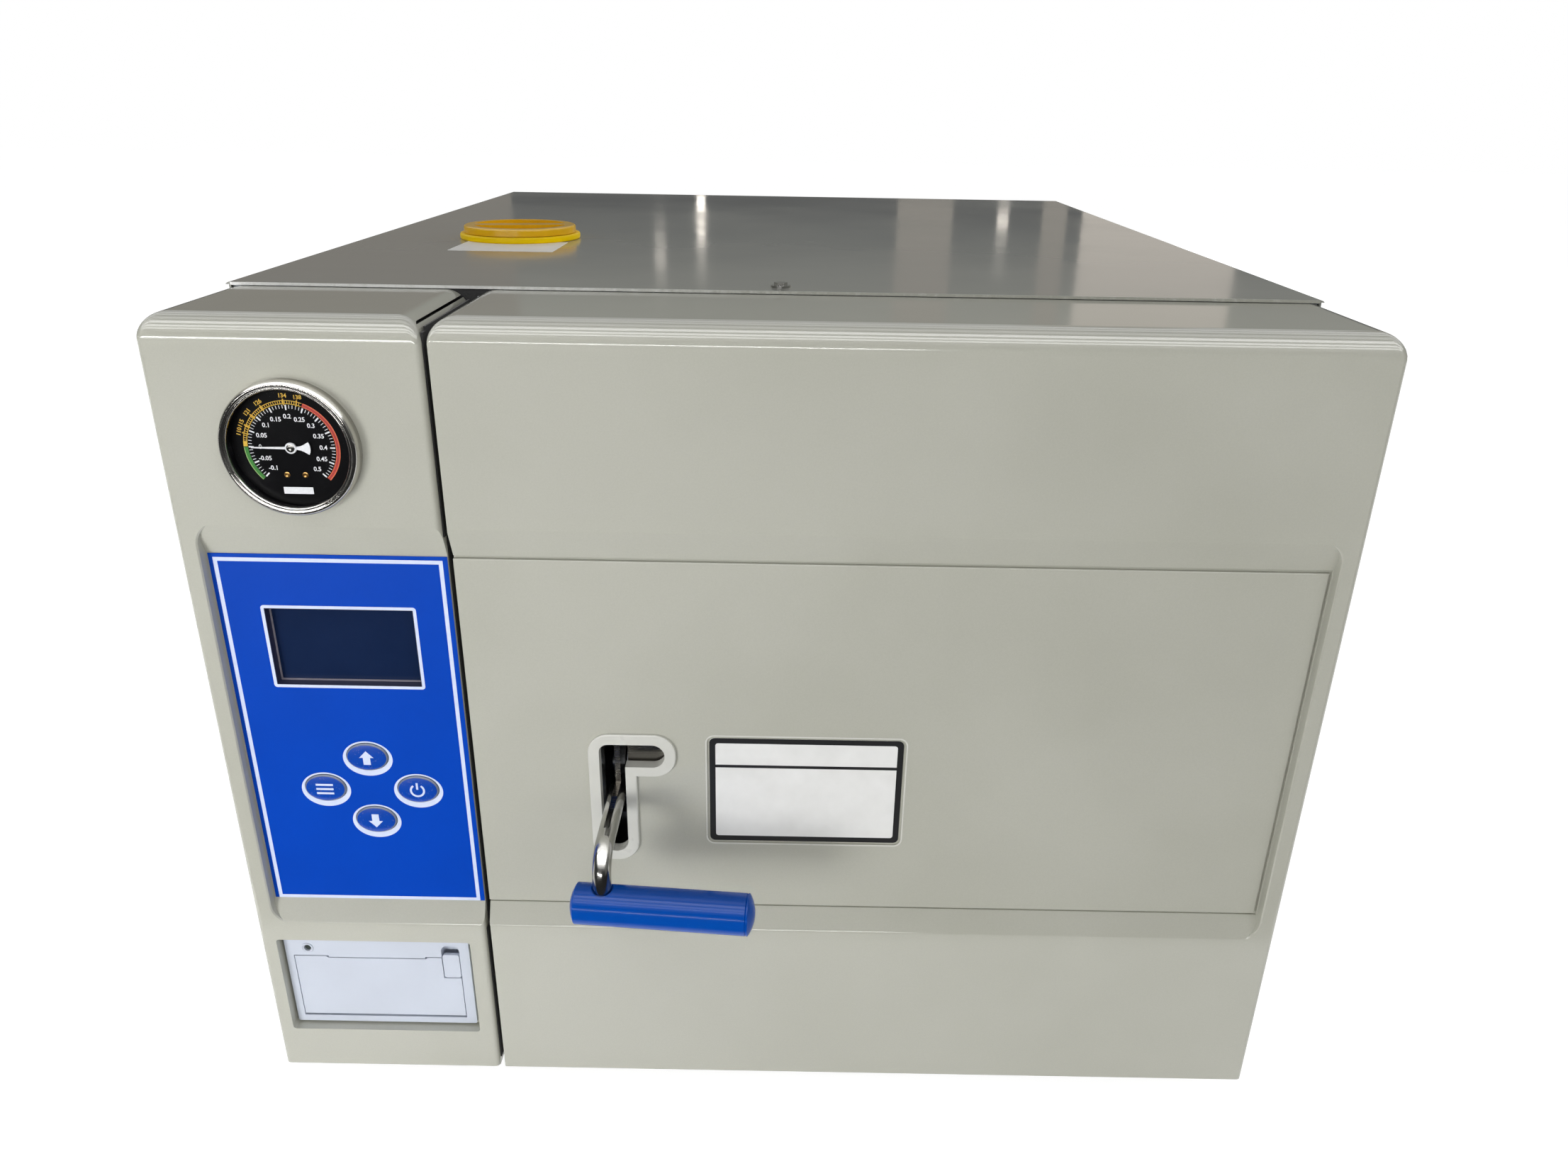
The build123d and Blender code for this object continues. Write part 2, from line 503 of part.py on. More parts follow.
# ---- door ----------------------------------------------------------------------------------
def slot_outline(grow, tip, corner):
    """The slot's path: down on the left, and along to the right at the top."""
    points = [(SLOT_LEFT - grow, SLOT_TOP + grow), (ARM_RIGHT + grow, SLOT_TOP + grow),
              (ARM_RIGHT + grow, ARM_BOTTOM - grow), (SLOT_RIGHT + grow, ARM_BOTTOM - grow),
              (SLOT_RIGHT + grow, SLOT_BOTTOM - grow), (SLOT_LEFT - grow, SLOT_BOTTOM - grow)]
    radii = [corner, tip, tip, 0, tip, tip]
    return make_face(FilletPolyline(*points, radius=radii, close=True))


def hinge_room(z):
    """Notch in the door's back corner for the frame's knuckle and leaf."""
    reach = KNUCKLE_RADIUS + 1.2
    low, high = z - 1.0, z + KNUCKLE_LENGTH + 1.0
    return block(HINGE_X - reach - 6, WIDTH + 1, HINGE_Y - reach, FRONT_DEPTH + 1, low, high)


def door_shell():
    shell = moulding(DOOR_LEFT, WIDTH, 1.0, SIDE_EDGE_RADIUS)
    back = shell.edges().filter_by(Axis.Z).filter_by(
        lambda e: abs(e.center().X - WIDTH) < 0.01 and abs(e.center().Y - FRONT_DEPTH) < 0.01)
    shell = chamfer(back, WALL - 0.4)
    depth = FASCIA_Y + GROOVE_DEPTH
    shell += recess_backing(DOOR_LEFT + WALL - 0.5, WIDTH - WALL + 0.5, depth)
    shell -= recess_cut(RECESS_DEPTH) + groove()
    recess = rect(LABEL_X - 1.3, LABEL_X + LABEL_WIDTH + 1.3, LABEL_Z - 1.2, LABEL_Z + LABEL_HEIGHT + 1.2, 4)
    shell += fascia_panel()
    shell -= slab(slot_outline(RIM_WIDTH / 2, RIM_WIDTH, RIM_WIDTH), 0, depth + WALL + 1)
    shell -= slab(recess, 0, FASCIA_Y + 1.0)
    for z in HINGE_HEIGHTS:
        shell -= hinge_room(z)
    return shell


def panel_edges():
    """The raised panel's edges on the door: x0, x1, z0, z1."""
    return (DOOR_LEFT, WIDTH - RECESS_SIDE - 2.2, FASCIA_BOTTOM + GROOVE_WIDTH,
            FASCIA_TOP - GROOVE_WIDTH)


def groove():
    """Shadow line between the recess wall and the raised panel."""
    x0, x1, z0, z1 = panel_edges()
    room = block(x0 - 1, x1 + GROOVE_WIDTH, RECESS_DEPTH - 1, RECESS_DEPTH + GROOVE_DEPTH - 1,
                 z0 - GROOVE_WIDTH, z1 + GROOVE_WIDTH)
    return room


def fascia_panel():
    x0, x1, z0, z1 = panel_edges()
    panel = block(x0, x1, FASCIA_Y, RECESS_DEPTH + GROOVE_DEPTH, z0, z1)
    front = panel.edges().group_by(Axis.Y)[0]
    rounded = front.filter_by(Axis.X) + front.filter_by(Axis.Z).sort_by(Axis.X)[-1:]
    return fillet(rounded, 0.6)


def slot_rim():
    """Raised rim round the slot, with a collar through the shell."""
    back = FASCIA_Y + GROOVE_DEPTH + WALL
    rim = slab(slot_outline(RIM_WIDTH, RIM_WIDTH * 2, RIM_WIDTH * 2 - 0.5), FASCIA_Y - RIM_HEIGHT, FASCIA_Y)
    rim = fillet(rim.edges().group_by(Axis.Y)[0], 0.8)
    rim += slab(slot_outline(RIM_WIDTH / 2 - 0.1, RIM_WIDTH, RIM_WIDTH), FASCIA_Y - 0.1, back)
    return rim - slab(slot_outline(0, SLOT_WIDTH / 2 - 0.1, 5), FASCIA_Y - RIM_HEIGHT - 1, back + 1)


def gate_plate():
    """Polished plate behind the slot's arm, with a cheek left of the rod's way down."""
    back = FASCIA_Y + GROOVE_DEPTH + WALL
    plate = slab(rect(SLOT_LEFT - 14, ARM_RIGHT + 12, SLOT_BOTTOM - 12, SLOT_TOP + 12, 3), back + 1.5,
                 back + 3)
    plate -= slab(rect(SLOT_LEFT - 0.6, SLOT_RIGHT + 0.6, SLOT_BOTTOM - 3, SLOT_TOP + 2, 2), back, back + 4)
    plate += block(SLOT_LEFT - 2.0, SLOT_LEFT - 0.6, back + 2, back + 14, SLOT_BOTTOM, SLOT_TOP)
    for x in (SLOT_LEFT - 9, ARM_RIGHT + 7):
        for z in (SLOT_BOTTOM - 7, SLOT_TOP + 7):
            plate += disc_y(x, z, 3, back, back + 1.6)
    return plate


def label_plate():
    face = rect(LABEL_X, LABEL_X + LABEL_WIDTH, LABEL_Z, LABEL_Z + LABEL_HEIGHT, 3)
    return slab(face, FASCIA_Y + 0.6, FASCIA_Y + 1.0)


def pressure_door():
    """Round steel door that closes the chamber, with a central boss for the yoke's spindle."""
    profile = [(0, SEAL_FRONT - 7), (PLATE_RADIUS, SEAL_FRONT - 7), (PLATE_RADIUS, SEAL_FRONT),
               (CHAMBER_BORE / 2 - 6, SEAL_FRONT), (CHAMBER_BORE / 2 - 16, SEAL_FRONT + 7),
               (0, SEAL_FRONT + 7)]
    plate = turned(profile, CHAMBER_X, CHAMBER_Z)
    return plate + disc_y(CHAMBER_X, CHAMBER_Z, 24, YOKE_BACK, SEAL_FRONT - 6.5)


YOKE_BACK = SEAL_FRONT - 15.0
YOKE_FRONT = YOKE_BACK - 18.0
YOKE_LOW = ROD_Z - 2.0
YOKE_HIGH = YOKE_LOW + 54.0
CHEEK_GAP = LEVER_THICKNESS / 2 + 0.6
CHEEK = 3.0


def door_gasket():
    """Silicone ring in front of the flange, just clear of it until the handle pulls it on."""
    inner, outer = CHAMBER_BORE / 2 + 4, PLATE_RADIUS - 2
    back = FLANGE_FRONT - FIT
    profile = [(inner, SEAL_FRONT), (outer, SEAL_FRONT), (outer, back - 2), (outer - 2, back),
               (inner + 2, back), (inner, back - 2)]
    return turned(profile, CHAMBER_X, CHAMBER_Z)


def door_liner():
    """Sheet that closes the moulding's back, round the pressure door and the hook's opening."""
    face = rect(DOOR_LEFT + WALL, WIDTH - WALL, WALL, PANEL_HEIGHT - WALL)
    face -= Pos(CHAMBER_X, CHAMBER_Z) * Circle(PLATE_RADIUS + 3)
    face -= rect(ROD_X - 14, ROD_X + 13, ROD_Z - 42, ROD_Z + 26, 3)
    liner = slab(face, LINER_Y - 1.5, LINER_Y)
    for z in HINGE_HEIGHTS:
        liner -= block(HINGE_X - 16, WIDTH, 0, FRONT_DEPTH, z - 2, z + 2 * KNUCKLE_LENGTH + 4)
    return liner


def door_yoke():
    """Beam from the hinge post to the latch, with the spindle that carries the pressure door."""
    right = HINGE_X - 22
    yoke = block(ROD_X + CHEEK_GAP + CHEEK, right, YOKE_FRONT, YOKE_BACK, YOKE_LOW, YOKE_HIGH)
    yoke -= block(ROD_X + CHEEK_GAP + CHEEK + 4, right + 1, YOKE_FRONT + 3, YOKE_BACK - 3, YOKE_LOW + 3,
                  YOKE_HIGH - 3)
    spindle = disc_y(CHAMBER_X, CHAMBER_Z, 12, YOKE_FRONT - 12, YOKE_BACK)
    return yoke + spindle + slab(Pos(CHAMBER_X, CHAMBER_Z) * RegularPolygon(19, 6), YOKE_FRONT - 9,
                                 YOKE_FRONT + 0.5)


def latch_clevis():
    """Two cheeks on the yoke's end that carry the handle's pivot pin."""
    low, high = ROD_Z - 30, ROD_Z + 22
    cheek = outline((PIVOT_Y - 14, low), (PIVOT_Y - 5, low), (YOKE_BACK, ROD_Z - 8), (YOKE_BACK, high),
                    (PIVOT_Y + 4, high), (PIVOT_Y - 9, ROD_Z + 4), (PIVOT_Y - 9, ROD_Z - 6))
    clevis = sheet_x(cheek, ROD_X - CHEEK_GAP - CHEEK, ROD_X - CHEEK_GAP)
    clevis += sheet_x(cheek, ROD_X + CHEEK_GAP, ROD_X + CHEEK_GAP + CHEEK)
    clevis += block(ROD_X - CHEEK_GAP - CHEEK, ROD_X + CHEEK_GAP + CHEEK, PIVOT_Y - 14, PIVOT_Y - 6,
                    low, low + 4)
    return clevis + disc_x(PIVOT_Y, ROD_Z, 4, ROD_X - CHEEK_GAP - CHEEK - 2, ROD_X + CHEEK_GAP + CHEEK)


def door_post():
    """Upright that carries the door: it holds the yoke and the upper hinge knuckles."""
    x1 = HINGE_X - 8
    post = block(x1 - 14, x1, YOKE_FRONT, YOKE_BACK, HINGE_HEIGHTS[0] - 20, HINGE_HEIGHTS[1] + 60)
    for z in HINGE_HEIGHTS:
        z0 = z + KNUCKLE_LENGTH + FIT
        leaf = block(x1 - 4, HINGE_X, HINGE_Y - 1.5, HINGE_Y + 1.5, z0, z0 + KNUCKLE_LENGTH)
        leaf += block(x1 - 4, x1 - 0.5, YOKE_BACK - 1, HINGE_Y + 1.5, z0, z0 + KNUCKLE_LENGTH)
        leaf += disc_z(HINGE_X, HINGE_Y, KNUCKLE_RADIUS, z0, z0 + KNUCKLE_LENGTH)
        post += leaf
    for z in HINGE_HEIGHTS:
        z0 = z + KNUCKLE_LENGTH + FIT
        post -= disc_z(HINGE_X, HINGE_Y, PIN_RADIUS + 0.08, z0 - 1, z0 + KNUCKLE_LENGTH + 1)
    for z in (HINGE_HEIGHTS[0] - 12, HINGE_HEIGHTS[1] + 52):
        post += block(x1 - 1, WIDTH - WALL, YOKE_FRONT, YOKE_FRONT + 4, z - 6, z + 6)
    return post


def hinge_leaves():
    """Frame halves of the hinges: lower knuckle, leaf back to the frame."""
    leaves = []
    for z in HINGE_HEIGHTS:
        leaf = disc_z(HINGE_X, HINGE_Y, KNUCKLE_RADIUS, z, z + KNUCKLE_LENGTH)
        leaf += block(HINGE_X - 1.5, HINGE_X + 1.5, HINGE_Y, FRAME_Y, z, z + KNUCKLE_LENGTH)
        leaf += block(HINGE_X - 14, HINGE_X + 1.5, FRAME_Y - 2.5, FRAME_Y, z, z + KNUCKLE_LENGTH)
        leaves.append(leaf - disc_z(HINGE_X, HINGE_Y, PIN_RADIUS, z - 1, z + KNUCKLE_LENGTH + 1))
    return leaves


def hinge_pins():
    return [disc_z(HINGE_X, HINGE_Y, PIN_RADIUS, z, z + 2 * KNUCKLE_LENGTH + FIT - 1)
            for z in HINGE_HEIGHTS]


# ---- handle --------------------------------------------------------------------------------
def latch_lever():
    """Plate on the pivot: a blade in the rod's fork in front, a hook for the keeper behind."""
    blade = outline((-43, -4), (-43, 4), (-29, 5), (-29, 31), (-22, 36), (0, 11), (8, 0), (0, -11),
                    (-12, -6))
    arm = outline(polar(10, -5), polar(24, -33), polar(HOOK_INNER + 1, -33), polar(HOOK_OUTER, -33),
                  polar(HOOK_OUTER, -56), polar(9, -100))
    ring = Circle(HOOK_OUTER) - Circle(HOOK_INNER)
    far = HOOK_OUTER * 2
    sector = outline((0, 0), polar(far, -56), polar(far, -10))
    plate = blade + Circle(11) + arm + (ring & sector)
    plate -= Circle(4 + 0.08)
    return sheet_x(Pos(PIVOT_Y, ROD_Z) * plate, ROD_X - LEVER_THICKNESS / 2, ROD_X + LEVER_THICKNESS / 2)


def handle_rod():
    """Bent rod: forked on the lever inside, out through the slot, and down into the grip."""
    inner_end = PIVOT_Y - 21
    path = FilletPolyline((ROD_X, inner_end, ROD_Z), (ROD_X, GRIP_Y, ROD_Z), (ROD_X, GRIP_Y, GRIP_Z - 6),
                          radius=ELBOW_RADIUS)
    rod = sweep(Plane(origin=path @ 0, z_dir=path % 0) * Circle(ROD_RADIUS), path)
    half = LEVER_THICKNESS / 2
    fork = outline((-29, ROD_Z - 6), (3, ROD_Z - 6), (inner_end + 1, ROD_Z - 6),
                   (inner_end + 1, ROD_Z + 6), (-29, ROD_Z + 6))
    return rod - sheet_x(fork, ROD_X - half, ROD_X + half)


def grip_bar(flat, tip):
    """Round bar on the grip's axis, from a flat end to a domed tip."""
    lean = math.copysign(1, tip - flat)
    middle = GRIP_RADIUS / 2
    drop = DOME_RADIUS - math.sqrt(DOME_RADIUS ** 2 - middle ** 2)
    shoulder = tip - lean * GRIP_DOME
    dome = ThreePointArc((tip, 0), (tip - lean * drop, middle), (shoulder, GRIP_RADIUS))
    side = Polyline((shoulder, GRIP_RADIUS), (flat, GRIP_RADIUS), (flat, 0), (tip, 0))
    bar = revolve(make_face(dome.edges() + side.edges()), Axis.X, 360)
    edge = bar.edges().filter_by(lambda e: abs(e.center().X - shoulder) < 0.01 and e.length > GRIP_RADIUS)
    bar = fillet(edge, GRIP_EDGE)
    seam = bar.edges().filter_by(lambda e: abs(e.center().X - flat) < 0.01 and e.length > GRIP_RADIUS)
    bar = Pos(0, GRIP_Y, GRIP_Z) * chamfer(seam, GRIP_SEAM)
    return Pos(ROD_X, GRIP_Y, 0) * Rotation(0, 0, GRIP_TURN) * Pos(-ROD_X, -GRIP_Y, 0) * bar


def grip():
    """Moulded grip with a domed end and the hole that the rod enters."""
    top = GRIP_Z + GRIP_RADIUS
    body = grip_bar(GRIP_LEFT + GRIP_LENGTH - GRIP_CAP_LENGTH, GRIP_LEFT)
    body -= disc_z(ROD_X, GRIP_Y, ROD_RADIUS, GRIP_Z - 6, top + 1)
    return body - disc_z(ROD_X, GRIP_Y, ROD_RADIUS + ROD_COLLAR_GAP, top - ROD_COLLAR_DEPTH, top + 1)


def grip_cap():
    x1 = GRIP_LEFT + GRIP_LENGTH
    return grip_bar(x1 - GRIP_CAP_LENGTH, x1)


def latch_keeper():
    """Bracket on the frame with the cross pin that the hook pulls on."""
    y, z = PIVOT_Y + KEEPER_Y, ROD_Z + KEEPER_Z
    inner, outer = LEVER_THICKNESS / 2 + 3.5, LEVER_THICKNESS / 2 + 6.5
    cheek = outline((y - 6, z - 6), (FRAME_Y, z - 14), (FRAME_Y, z + 14), (y - 6, z + 6))
    keeper = sheet_x(cheek, ROD_X - outer, ROD_X - inner) + sheet_x(cheek, ROD_X + inner, ROD_X + outer)
    return keeper + disc_x(y, z, KEEPER_RADIUS, ROD_X - outer, ROD_X + outer)


# ---- frame, base and cover -----------------------------------------------------------------
def front_frame():
    face = rect(INNER_LEFT, INNER_RIGHT, 0, PANEL_HEIGHT + COVER_LIFT)
    face -= Pos(CHAMBER_X, CHAMBER_Z) * Circle(CHAMBER_OUTER + FIT)
    face -= rect(WALL + 8, SHELL_WIDTH - WALL - 8, 30, PANEL_HEIGHT - 30, 6)
    frame = slab(face, FRAME_Y, FRAME_BACK)
    frame += block(INNER_LEFT, INNER_RIGHT, FRAME_Y, FRAME_BACK + 16,
                   PANEL_HEIGHT + COVER_LIFT - FRAME_SHEET, PANEL_HEIGHT + COVER_LIFT)
    for x in (INNER_LEFT, INNER_RIGHT - FRAME_SHEET):
        frame += block(x, x + FRAME_SHEET, FRAME_Y, FRAME_BACK + 16, FLOOR_Z, PANEL_HEIGHT)
    x, y = TOP_SCREW
    return frame - disc_z(x, y, SCREW_RADIUS, PANEL_HEIGHT - 10, COVER_TOP)


TOP_SCREW = (303.0, FRAME_BACK + 2.2 + 4.0)
SCREW_RADIUS = 2.0


def base_tray():
    """Folded base with side lips, and the saddle that carries the chamber's back end."""
    y0 = FRAME_BACK + 16
    tray = block(INNER_LEFT, INNER_RIGHT, FRAME_BACK, REAR_Y, 0, FLOOR_Z)
    for x in (INNER_LEFT, INNER_RIGHT - FLOOR_Z):
        tray += block(x, x + FLOOR_Z, y0 + FIT, REAR_Y, 0, 30)
    saddle_y = CHAMBER_BACK - HEAD_RADIUS - 60
    width = CHAMBER_BORE / 2 - 20
    saddle = block(CHAMBER_X - width, CHAMBER_X + width, saddle_y, saddle_y + 3, 0.5,
                   CHAMBER_Z - JACKET_OUTER * 0.55)
    saddle += block(CHAMBER_X - width, CHAMBER_X + width, saddle_y - 20, saddle_y + 1, 0.5, FLOOR_Z + 2)
    return tray + (saddle - disc_y(CHAMBER_X, CHAMBER_Z, JACKET_OUTER, saddle_y - 30, saddle_y + 10))


def feet():
    places = [(x, y) for x in (45.0, WIDTH - 45.0) for y in (FRAME_BACK + 40, BODY_DEPTH - 60)]
    made = []
    for x, y in places:
        foot = disc_z(x, y, 17, -FOOT_HEIGHT, 0)
        made.append(chamfer(foot.edges().group_by(Axis.Z)[0], 2))
    return made


def rear_panel():
    face = rect(INNER_LEFT, INNER_RIGHT, 0, PANEL_HEIGHT + COVER_LIFT)
    panel = slab(face, REAR_Y, REAR_Y + COVER_SHEET)
    vents = Sketch() + [Pos(x, z) * SlotOverall(60, 5) for x in (150, 230, 310) for z in
                        range(150, 290, 14)]
    panel -= slab(vents, REAR_Y - 1, REAR_Y + 3)
    panel -= disc_y(FAN_X, FAN_Z, FAN_RADIUS, REAR_Y - 1, REAR_Y + 3)
    guard = Circle(FAN_RADIUS + 0.5) - Circle(FAN_RADIUS - 2)
    for radius in (16, 28, 40):
        guard += Circle(radius + 1.2) - Circle(radius - 1.2)
    for turn in range(4):
        guard += Rotation(0, 0, 45 * turn) * Rectangle(2 * FAN_RADIUS, 3)
    panel += slab(Pos(FAN_X, FAN_Z) * guard, REAR_Y, REAR_Y + COVER_SHEET)
    panel -= slab(rect(INLET_X - 24 - FIT, INLET_X + 24 + FIT, INLET_Z - 30 - FIT, INLET_Z + 30 + FIT),
                  REAR_Y - 1, REAR_Y + 3)
    panel -= disc_y(DRAIN_X, DRAIN_Z, SPIGOT_RADIUS + 2 + FIT, REAR_Y - 1, REAR_Y + 3)
    panel -= disc_y(DRAIN_X + 60, DRAIN_Z, SPIGOT_RADIUS + 2 + FIT, REAR_Y - 1, REAR_Y + 3)
    panel -= disc_y(*VALVE, 9 + FIT, REAR_Y - 1, REAR_Y + 3)
    return panel


def top_cover():
    """One sheet folded over the top and both sides."""
    lip = FRONT_DEPTH + 0.5
    outer = block(COVER_LEFT, COVER_RIGHT, lip, BODY_DEPTH, 1, COVER_TOP)
    edges = outer.edges().filter_by(Axis.Y).group_by(Axis.Z)[-1]
    outer = fillet(edges, 2.5)
    inner = block(INNER_LEFT, INNER_RIGHT, lip - 1, BODY_DEPTH + 1, 0, COVER_TOP - COVER_SHEET)
    cover = outer - inner
    cover -= block(0, WIDTH, lip - 1, COVER_FRONT, 0, PANEL_HEIGHT + COVER_LIFT)
    cover -= disc_z(FILLER_X, FILLER_Y, NECK_RADIUS + FIT, PANEL_HEIGHT, COVER_TOP + 1)
    cover -= disc_z(*TOP_SCREW, SCREW_RADIUS, PANEL_HEIGHT, COVER_TOP + 1)
    for y in side_screw_places():
        cover -= disc_x(y, 18, SCREW_RADIUS, 0, WIDTH)
    return cover


def side_screw_places():
    first, last = FRAME_BACK + 60, BODY_DEPTH - 50
    return (first, (first + last) / 2, last)


def cover_screws():
    """Flange screw on top and pan screws along both sides."""
    x, y = TOP_SCREW
    top = disc_z(x, y, 5.5, COVER_TOP, COVER_TOP + 1.1)
    top += Pos(x, y, COVER_TOP + 1) * extrude(RegularPolygon(3.7, 6), amount=1.6)
    top += disc_z(x, y, SCREW_RADIUS, PANEL_HEIGHT - 8, COVER_TOP + 0.5)
    screws = [top]
    for place in side_screw_places():
        left = disc_x(place, 18, 3.6, COVER_LEFT - 2, COVER_LEFT)
        left += disc_x(place, 18, SCREW_RADIUS, COVER_LEFT - 1, INNER_LEFT)
        right = disc_x(place, 18, 3.6, COVER_RIGHT, COVER_RIGHT + 2)
        right += disc_x(place, 18, SCREW_RADIUS, INNER_RIGHT, COVER_RIGHT + 1)
        screws += [left, right]
    return screws


# ---- chamber and its fittings --------------------------------------------------------------
def vessel_profile(radius, back, head):
    """Half section of the vessel, from the axis at the back to the open front."""
    line = FilletPolyline((0, back), (radius, back), (radius, FLANGE_FRONT), radius=head)
    close = Polyline((radius, FLANGE_FRONT), (0, FLANGE_FRONT), (0, back))
    return make_face(line.edges() + close.edges())


def chamber():
    outer = revolve(vessel_profile(CHAMBER_OUTER, CHAMBER_BACK, HEAD_RADIUS), Axis.Y, 360)
    inner = revolve(vessel_profile(CHAMBER_BORE / 2, CHAMBER_BACK - CHAMBER_WALL,
                                   HEAD_RADIUS - CHAMBER_WALL), Axis.Y, 360)
    vessel = Pos(CHAMBER_X, 0, CHAMBER_Z) * (outer - inner)
    return vessel - disc_y(*PROBE, 3, CHAMBER_BACK - 20, CHAMBER_BACK + 1)


PROBE = (CHAMBER_X, CHAMBER_Z + PROBE_ABOVE)


def chamber_flange():
    profile = [(CHAMBER_OUTER, FLANGE_FRONT), (FLANGE_RADIUS, FLANGE_FRONT), (FLANGE_RADIUS, FRAME_Y),
               (CHAMBER_OUTER, FRAME_Y)]
    return turned(profile, CHAMBER_X, CHAMBER_Z)


def heater_band():
    y0 = FRAME_BACK + 140
    profile = [(CHAMBER_OUTER, y0), (JACKET_INNER, y0), (JACKET_INNER, y0 + 200), (CHAMBER_OUTER, y0 + 200)]
    return turned(profile, CHAMBER_X, CHAMBER_Z)


def insulation_jacket():
    y0, y1 = FRAME_BACK + 4, CHAMBER_BACK - HEAD_RADIUS
    profile = [(JACKET_INNER, y0), (JACKET_OUTER, y0), (JACKET_OUTER, y1), (JACKET_INNER, y1)]
    return turned(profile, CHAMBER_X, CHAMBER_Z)


def temperature_probe():
    x, z = PROBE
    probe = disc_y(x, z, 3, CHAMBER_BACK - 90, CHAMBER_BACK + 12)
    return probe + slab(Pos(x, z) * RegularPolygon(7, 6), CHAMBER_BACK, CHAMBER_BACK + 8)


RACK_Y = FLANGE_FRONT + 20
RACK_HALF = TRAY_WIDTH / 2 + 12


def tray_levels():
    return [CHAMBER_Z + TRAY_PITCH * (n - (TRAY_COUNT - 1) / 2) - 10 for n in range(TRAY_COUNT)]


def tray_rack():
    """Two side frames with ledges for the trays, standing on the chamber's wall."""
    bottom = CHAMBER_Z - math.sqrt((CHAMBER_BORE / 2 - FIT) ** 2 - RACK_HALF ** 2)
    top = tray_levels()[-1] + TRAY_HEIGHT + 8
    y1 = RACK_Y + TRAY_DEPTH
    pieces = []
    for side in (-1, 1):
        outer = CHAMBER_X + side * RACK_HALF
        inner = outer - side * 1.5
        x0, x1 = min(outer, inner), max(outer, inner)
        wall = block(x0, x1, RACK_Y, y1, bottom, top)
        for start in range(3):
            y = RACK_Y + 20 + start * (TRAY_DEPTH - 20) / 3
            wall -= block(x0 - 1, x1 + 1, y, y + (TRAY_DEPTH - 20) / 3 - 20, bottom + RACK_SILL,
                          tray_levels()[0] - 8)
        for level in tray_levels():
            x2 = CHAMBER_X + side * (TRAY_WIDTH / 2 + 1)
            wall += block(min(x2, inner), max(x2, inner), RACK_Y, y1, level + TRAY_HEIGHT - 3,
                          level + TRAY_HEIGHT - 1.5)
        pieces.append(wall)
    rack = pieces[0] + pieces[1]
    for y in (RACK_Y + 10, y1 - 20):
        rack += block(CHAMBER_X - RACK_HALF, CHAMBER_X + RACK_HALF, y, y + 10, bottom + 1, bottom + 4)
    return rack


def tray(level):
    """Perforated tray whose rim rests on the rack's ledges."""
    x0, x1 = CHAMBER_X - TRAY_WIDTH / 2, CHAMBER_X + TRAY_WIDTH / 2
    y0, y1 = RACK_Y + 4, RACK_Y + TRAY_DEPTH - 4
    pan = block(x0, x1, y0, y1, level, level + TRAY_HEIGHT)
    pan -= block(x0 + TRAY_SHEET, x1 - TRAY_SHEET, y0 + TRAY_SHEET, y1 - TRAY_SHEET, level + TRAY_SHEET,
                 level + TRAY_HEIGHT + 1)
    top = level + TRAY_HEIGHT
    for x in (x0 - 8, x1 - TRAY_SHEET):
        pan += block(x, x + 8 + TRAY_SHEET, y0, y1, top - 1.5, top)
    holes = Sketch() + [Pos(x, y) * SlotOverall(20, 6) for x in
                        (CHAMBER_X - 66, CHAMBER_X - 33, CHAMBER_X, CHAMBER_X + 33, CHAMBER_X + 66)
                        for y in range(round(y0) + 25, round(y1) - 20, 40)]
    return pan - extrude(Plane.XY.offset(level - 1) * holes, amount=3)


# ---- water circuit, electrics and rear fittings --------------------------------------------
TANK = (INNER_LEFT + 6, CHAMBER_X - JACKET_OUTER - 8, 180.0, 500.0, TANK_TOP - 170.0, TANK_TOP)


def water_tank():
    x0, x1, y0, y1, z0, z1 = TANK
    tank = fillet(block(x0, x1, y0, y1, z0, z1).edges().filter_by(Axis.Z), 10)
    tank -= block(x0 + TANK_WALL, x1 - TANK_WALL, y0 + TANK_WALL, y1 - TANK_WALL, z0 + TANK_WALL,
                  z1 - TANK_WALL)
    tank -= disc_z(FILLER_X, FILLER_Y, NECK_RADIUS, z1 - 10, z1 + 1)
    for x in (x0 + 15, x1 - 15):
        for y in (y0 + 15, y1 - 15):
            tank += disc_z(x, y, 6, FLOOR_Z, z0 + 1)
    return tank


def filler_neck():
    """Neck through the cover into the tank, with the flange that the cap sits on."""
    neck = disc_z(FILLER_X, FILLER_Y, NECK_RADIUS, TANK_TOP - TANK_WALL, COVER_TOP + 1)
    flange = disc_z(FILLER_X, FILLER_Y, NECK_FLANGE_RADIUS, COVER_TOP, COVER_TOP + NECK_FLANGE_HEIGHT)
    neck += fillet(flange.edges(), 1.4)
    return neck - disc_z(FILLER_X, FILLER_Y, NECK_RADIUS - NECK_WALL, 0, COVER_TOP + 10)


CAP_BOTTOM = COVER_TOP + NECK_FLANGE_HEIGHT + FIT


def filler_cap():
    """Cap with a plug that drops into the neck, and a grip bar between two half-moon pockets."""
    cap = disc_z(FILLER_X, FILLER_Y, CAP_RADIUS, CAP_BOTTOM, CAP_BOTTOM + CAP_HEIGHT)
    cap = fillet(cap.edges().group_by(Axis.Z)[-1], 1.6)
    cap += disc_z(FILLER_X, FILLER_Y, NECK_RADIUS - NECK_WALL - FIT, CAP_BOTTOM - 9, CAP_BOTTOM + 0.5)
    pocket = Circle(CAP_RADIUS - 7) - Rectangle(2 * CAP_RADIUS, 12)
    top = CAP_BOTTOM + CAP_HEIGHT
    pocket = Pos(FILLER_X, FILLER_Y, top - CAP_POCKET_DEPTH) * Rotation(0, 0, 12) * pocket
    return cap - extrude(pocket, amount=CAP_POCKET_DEPTH + 1)


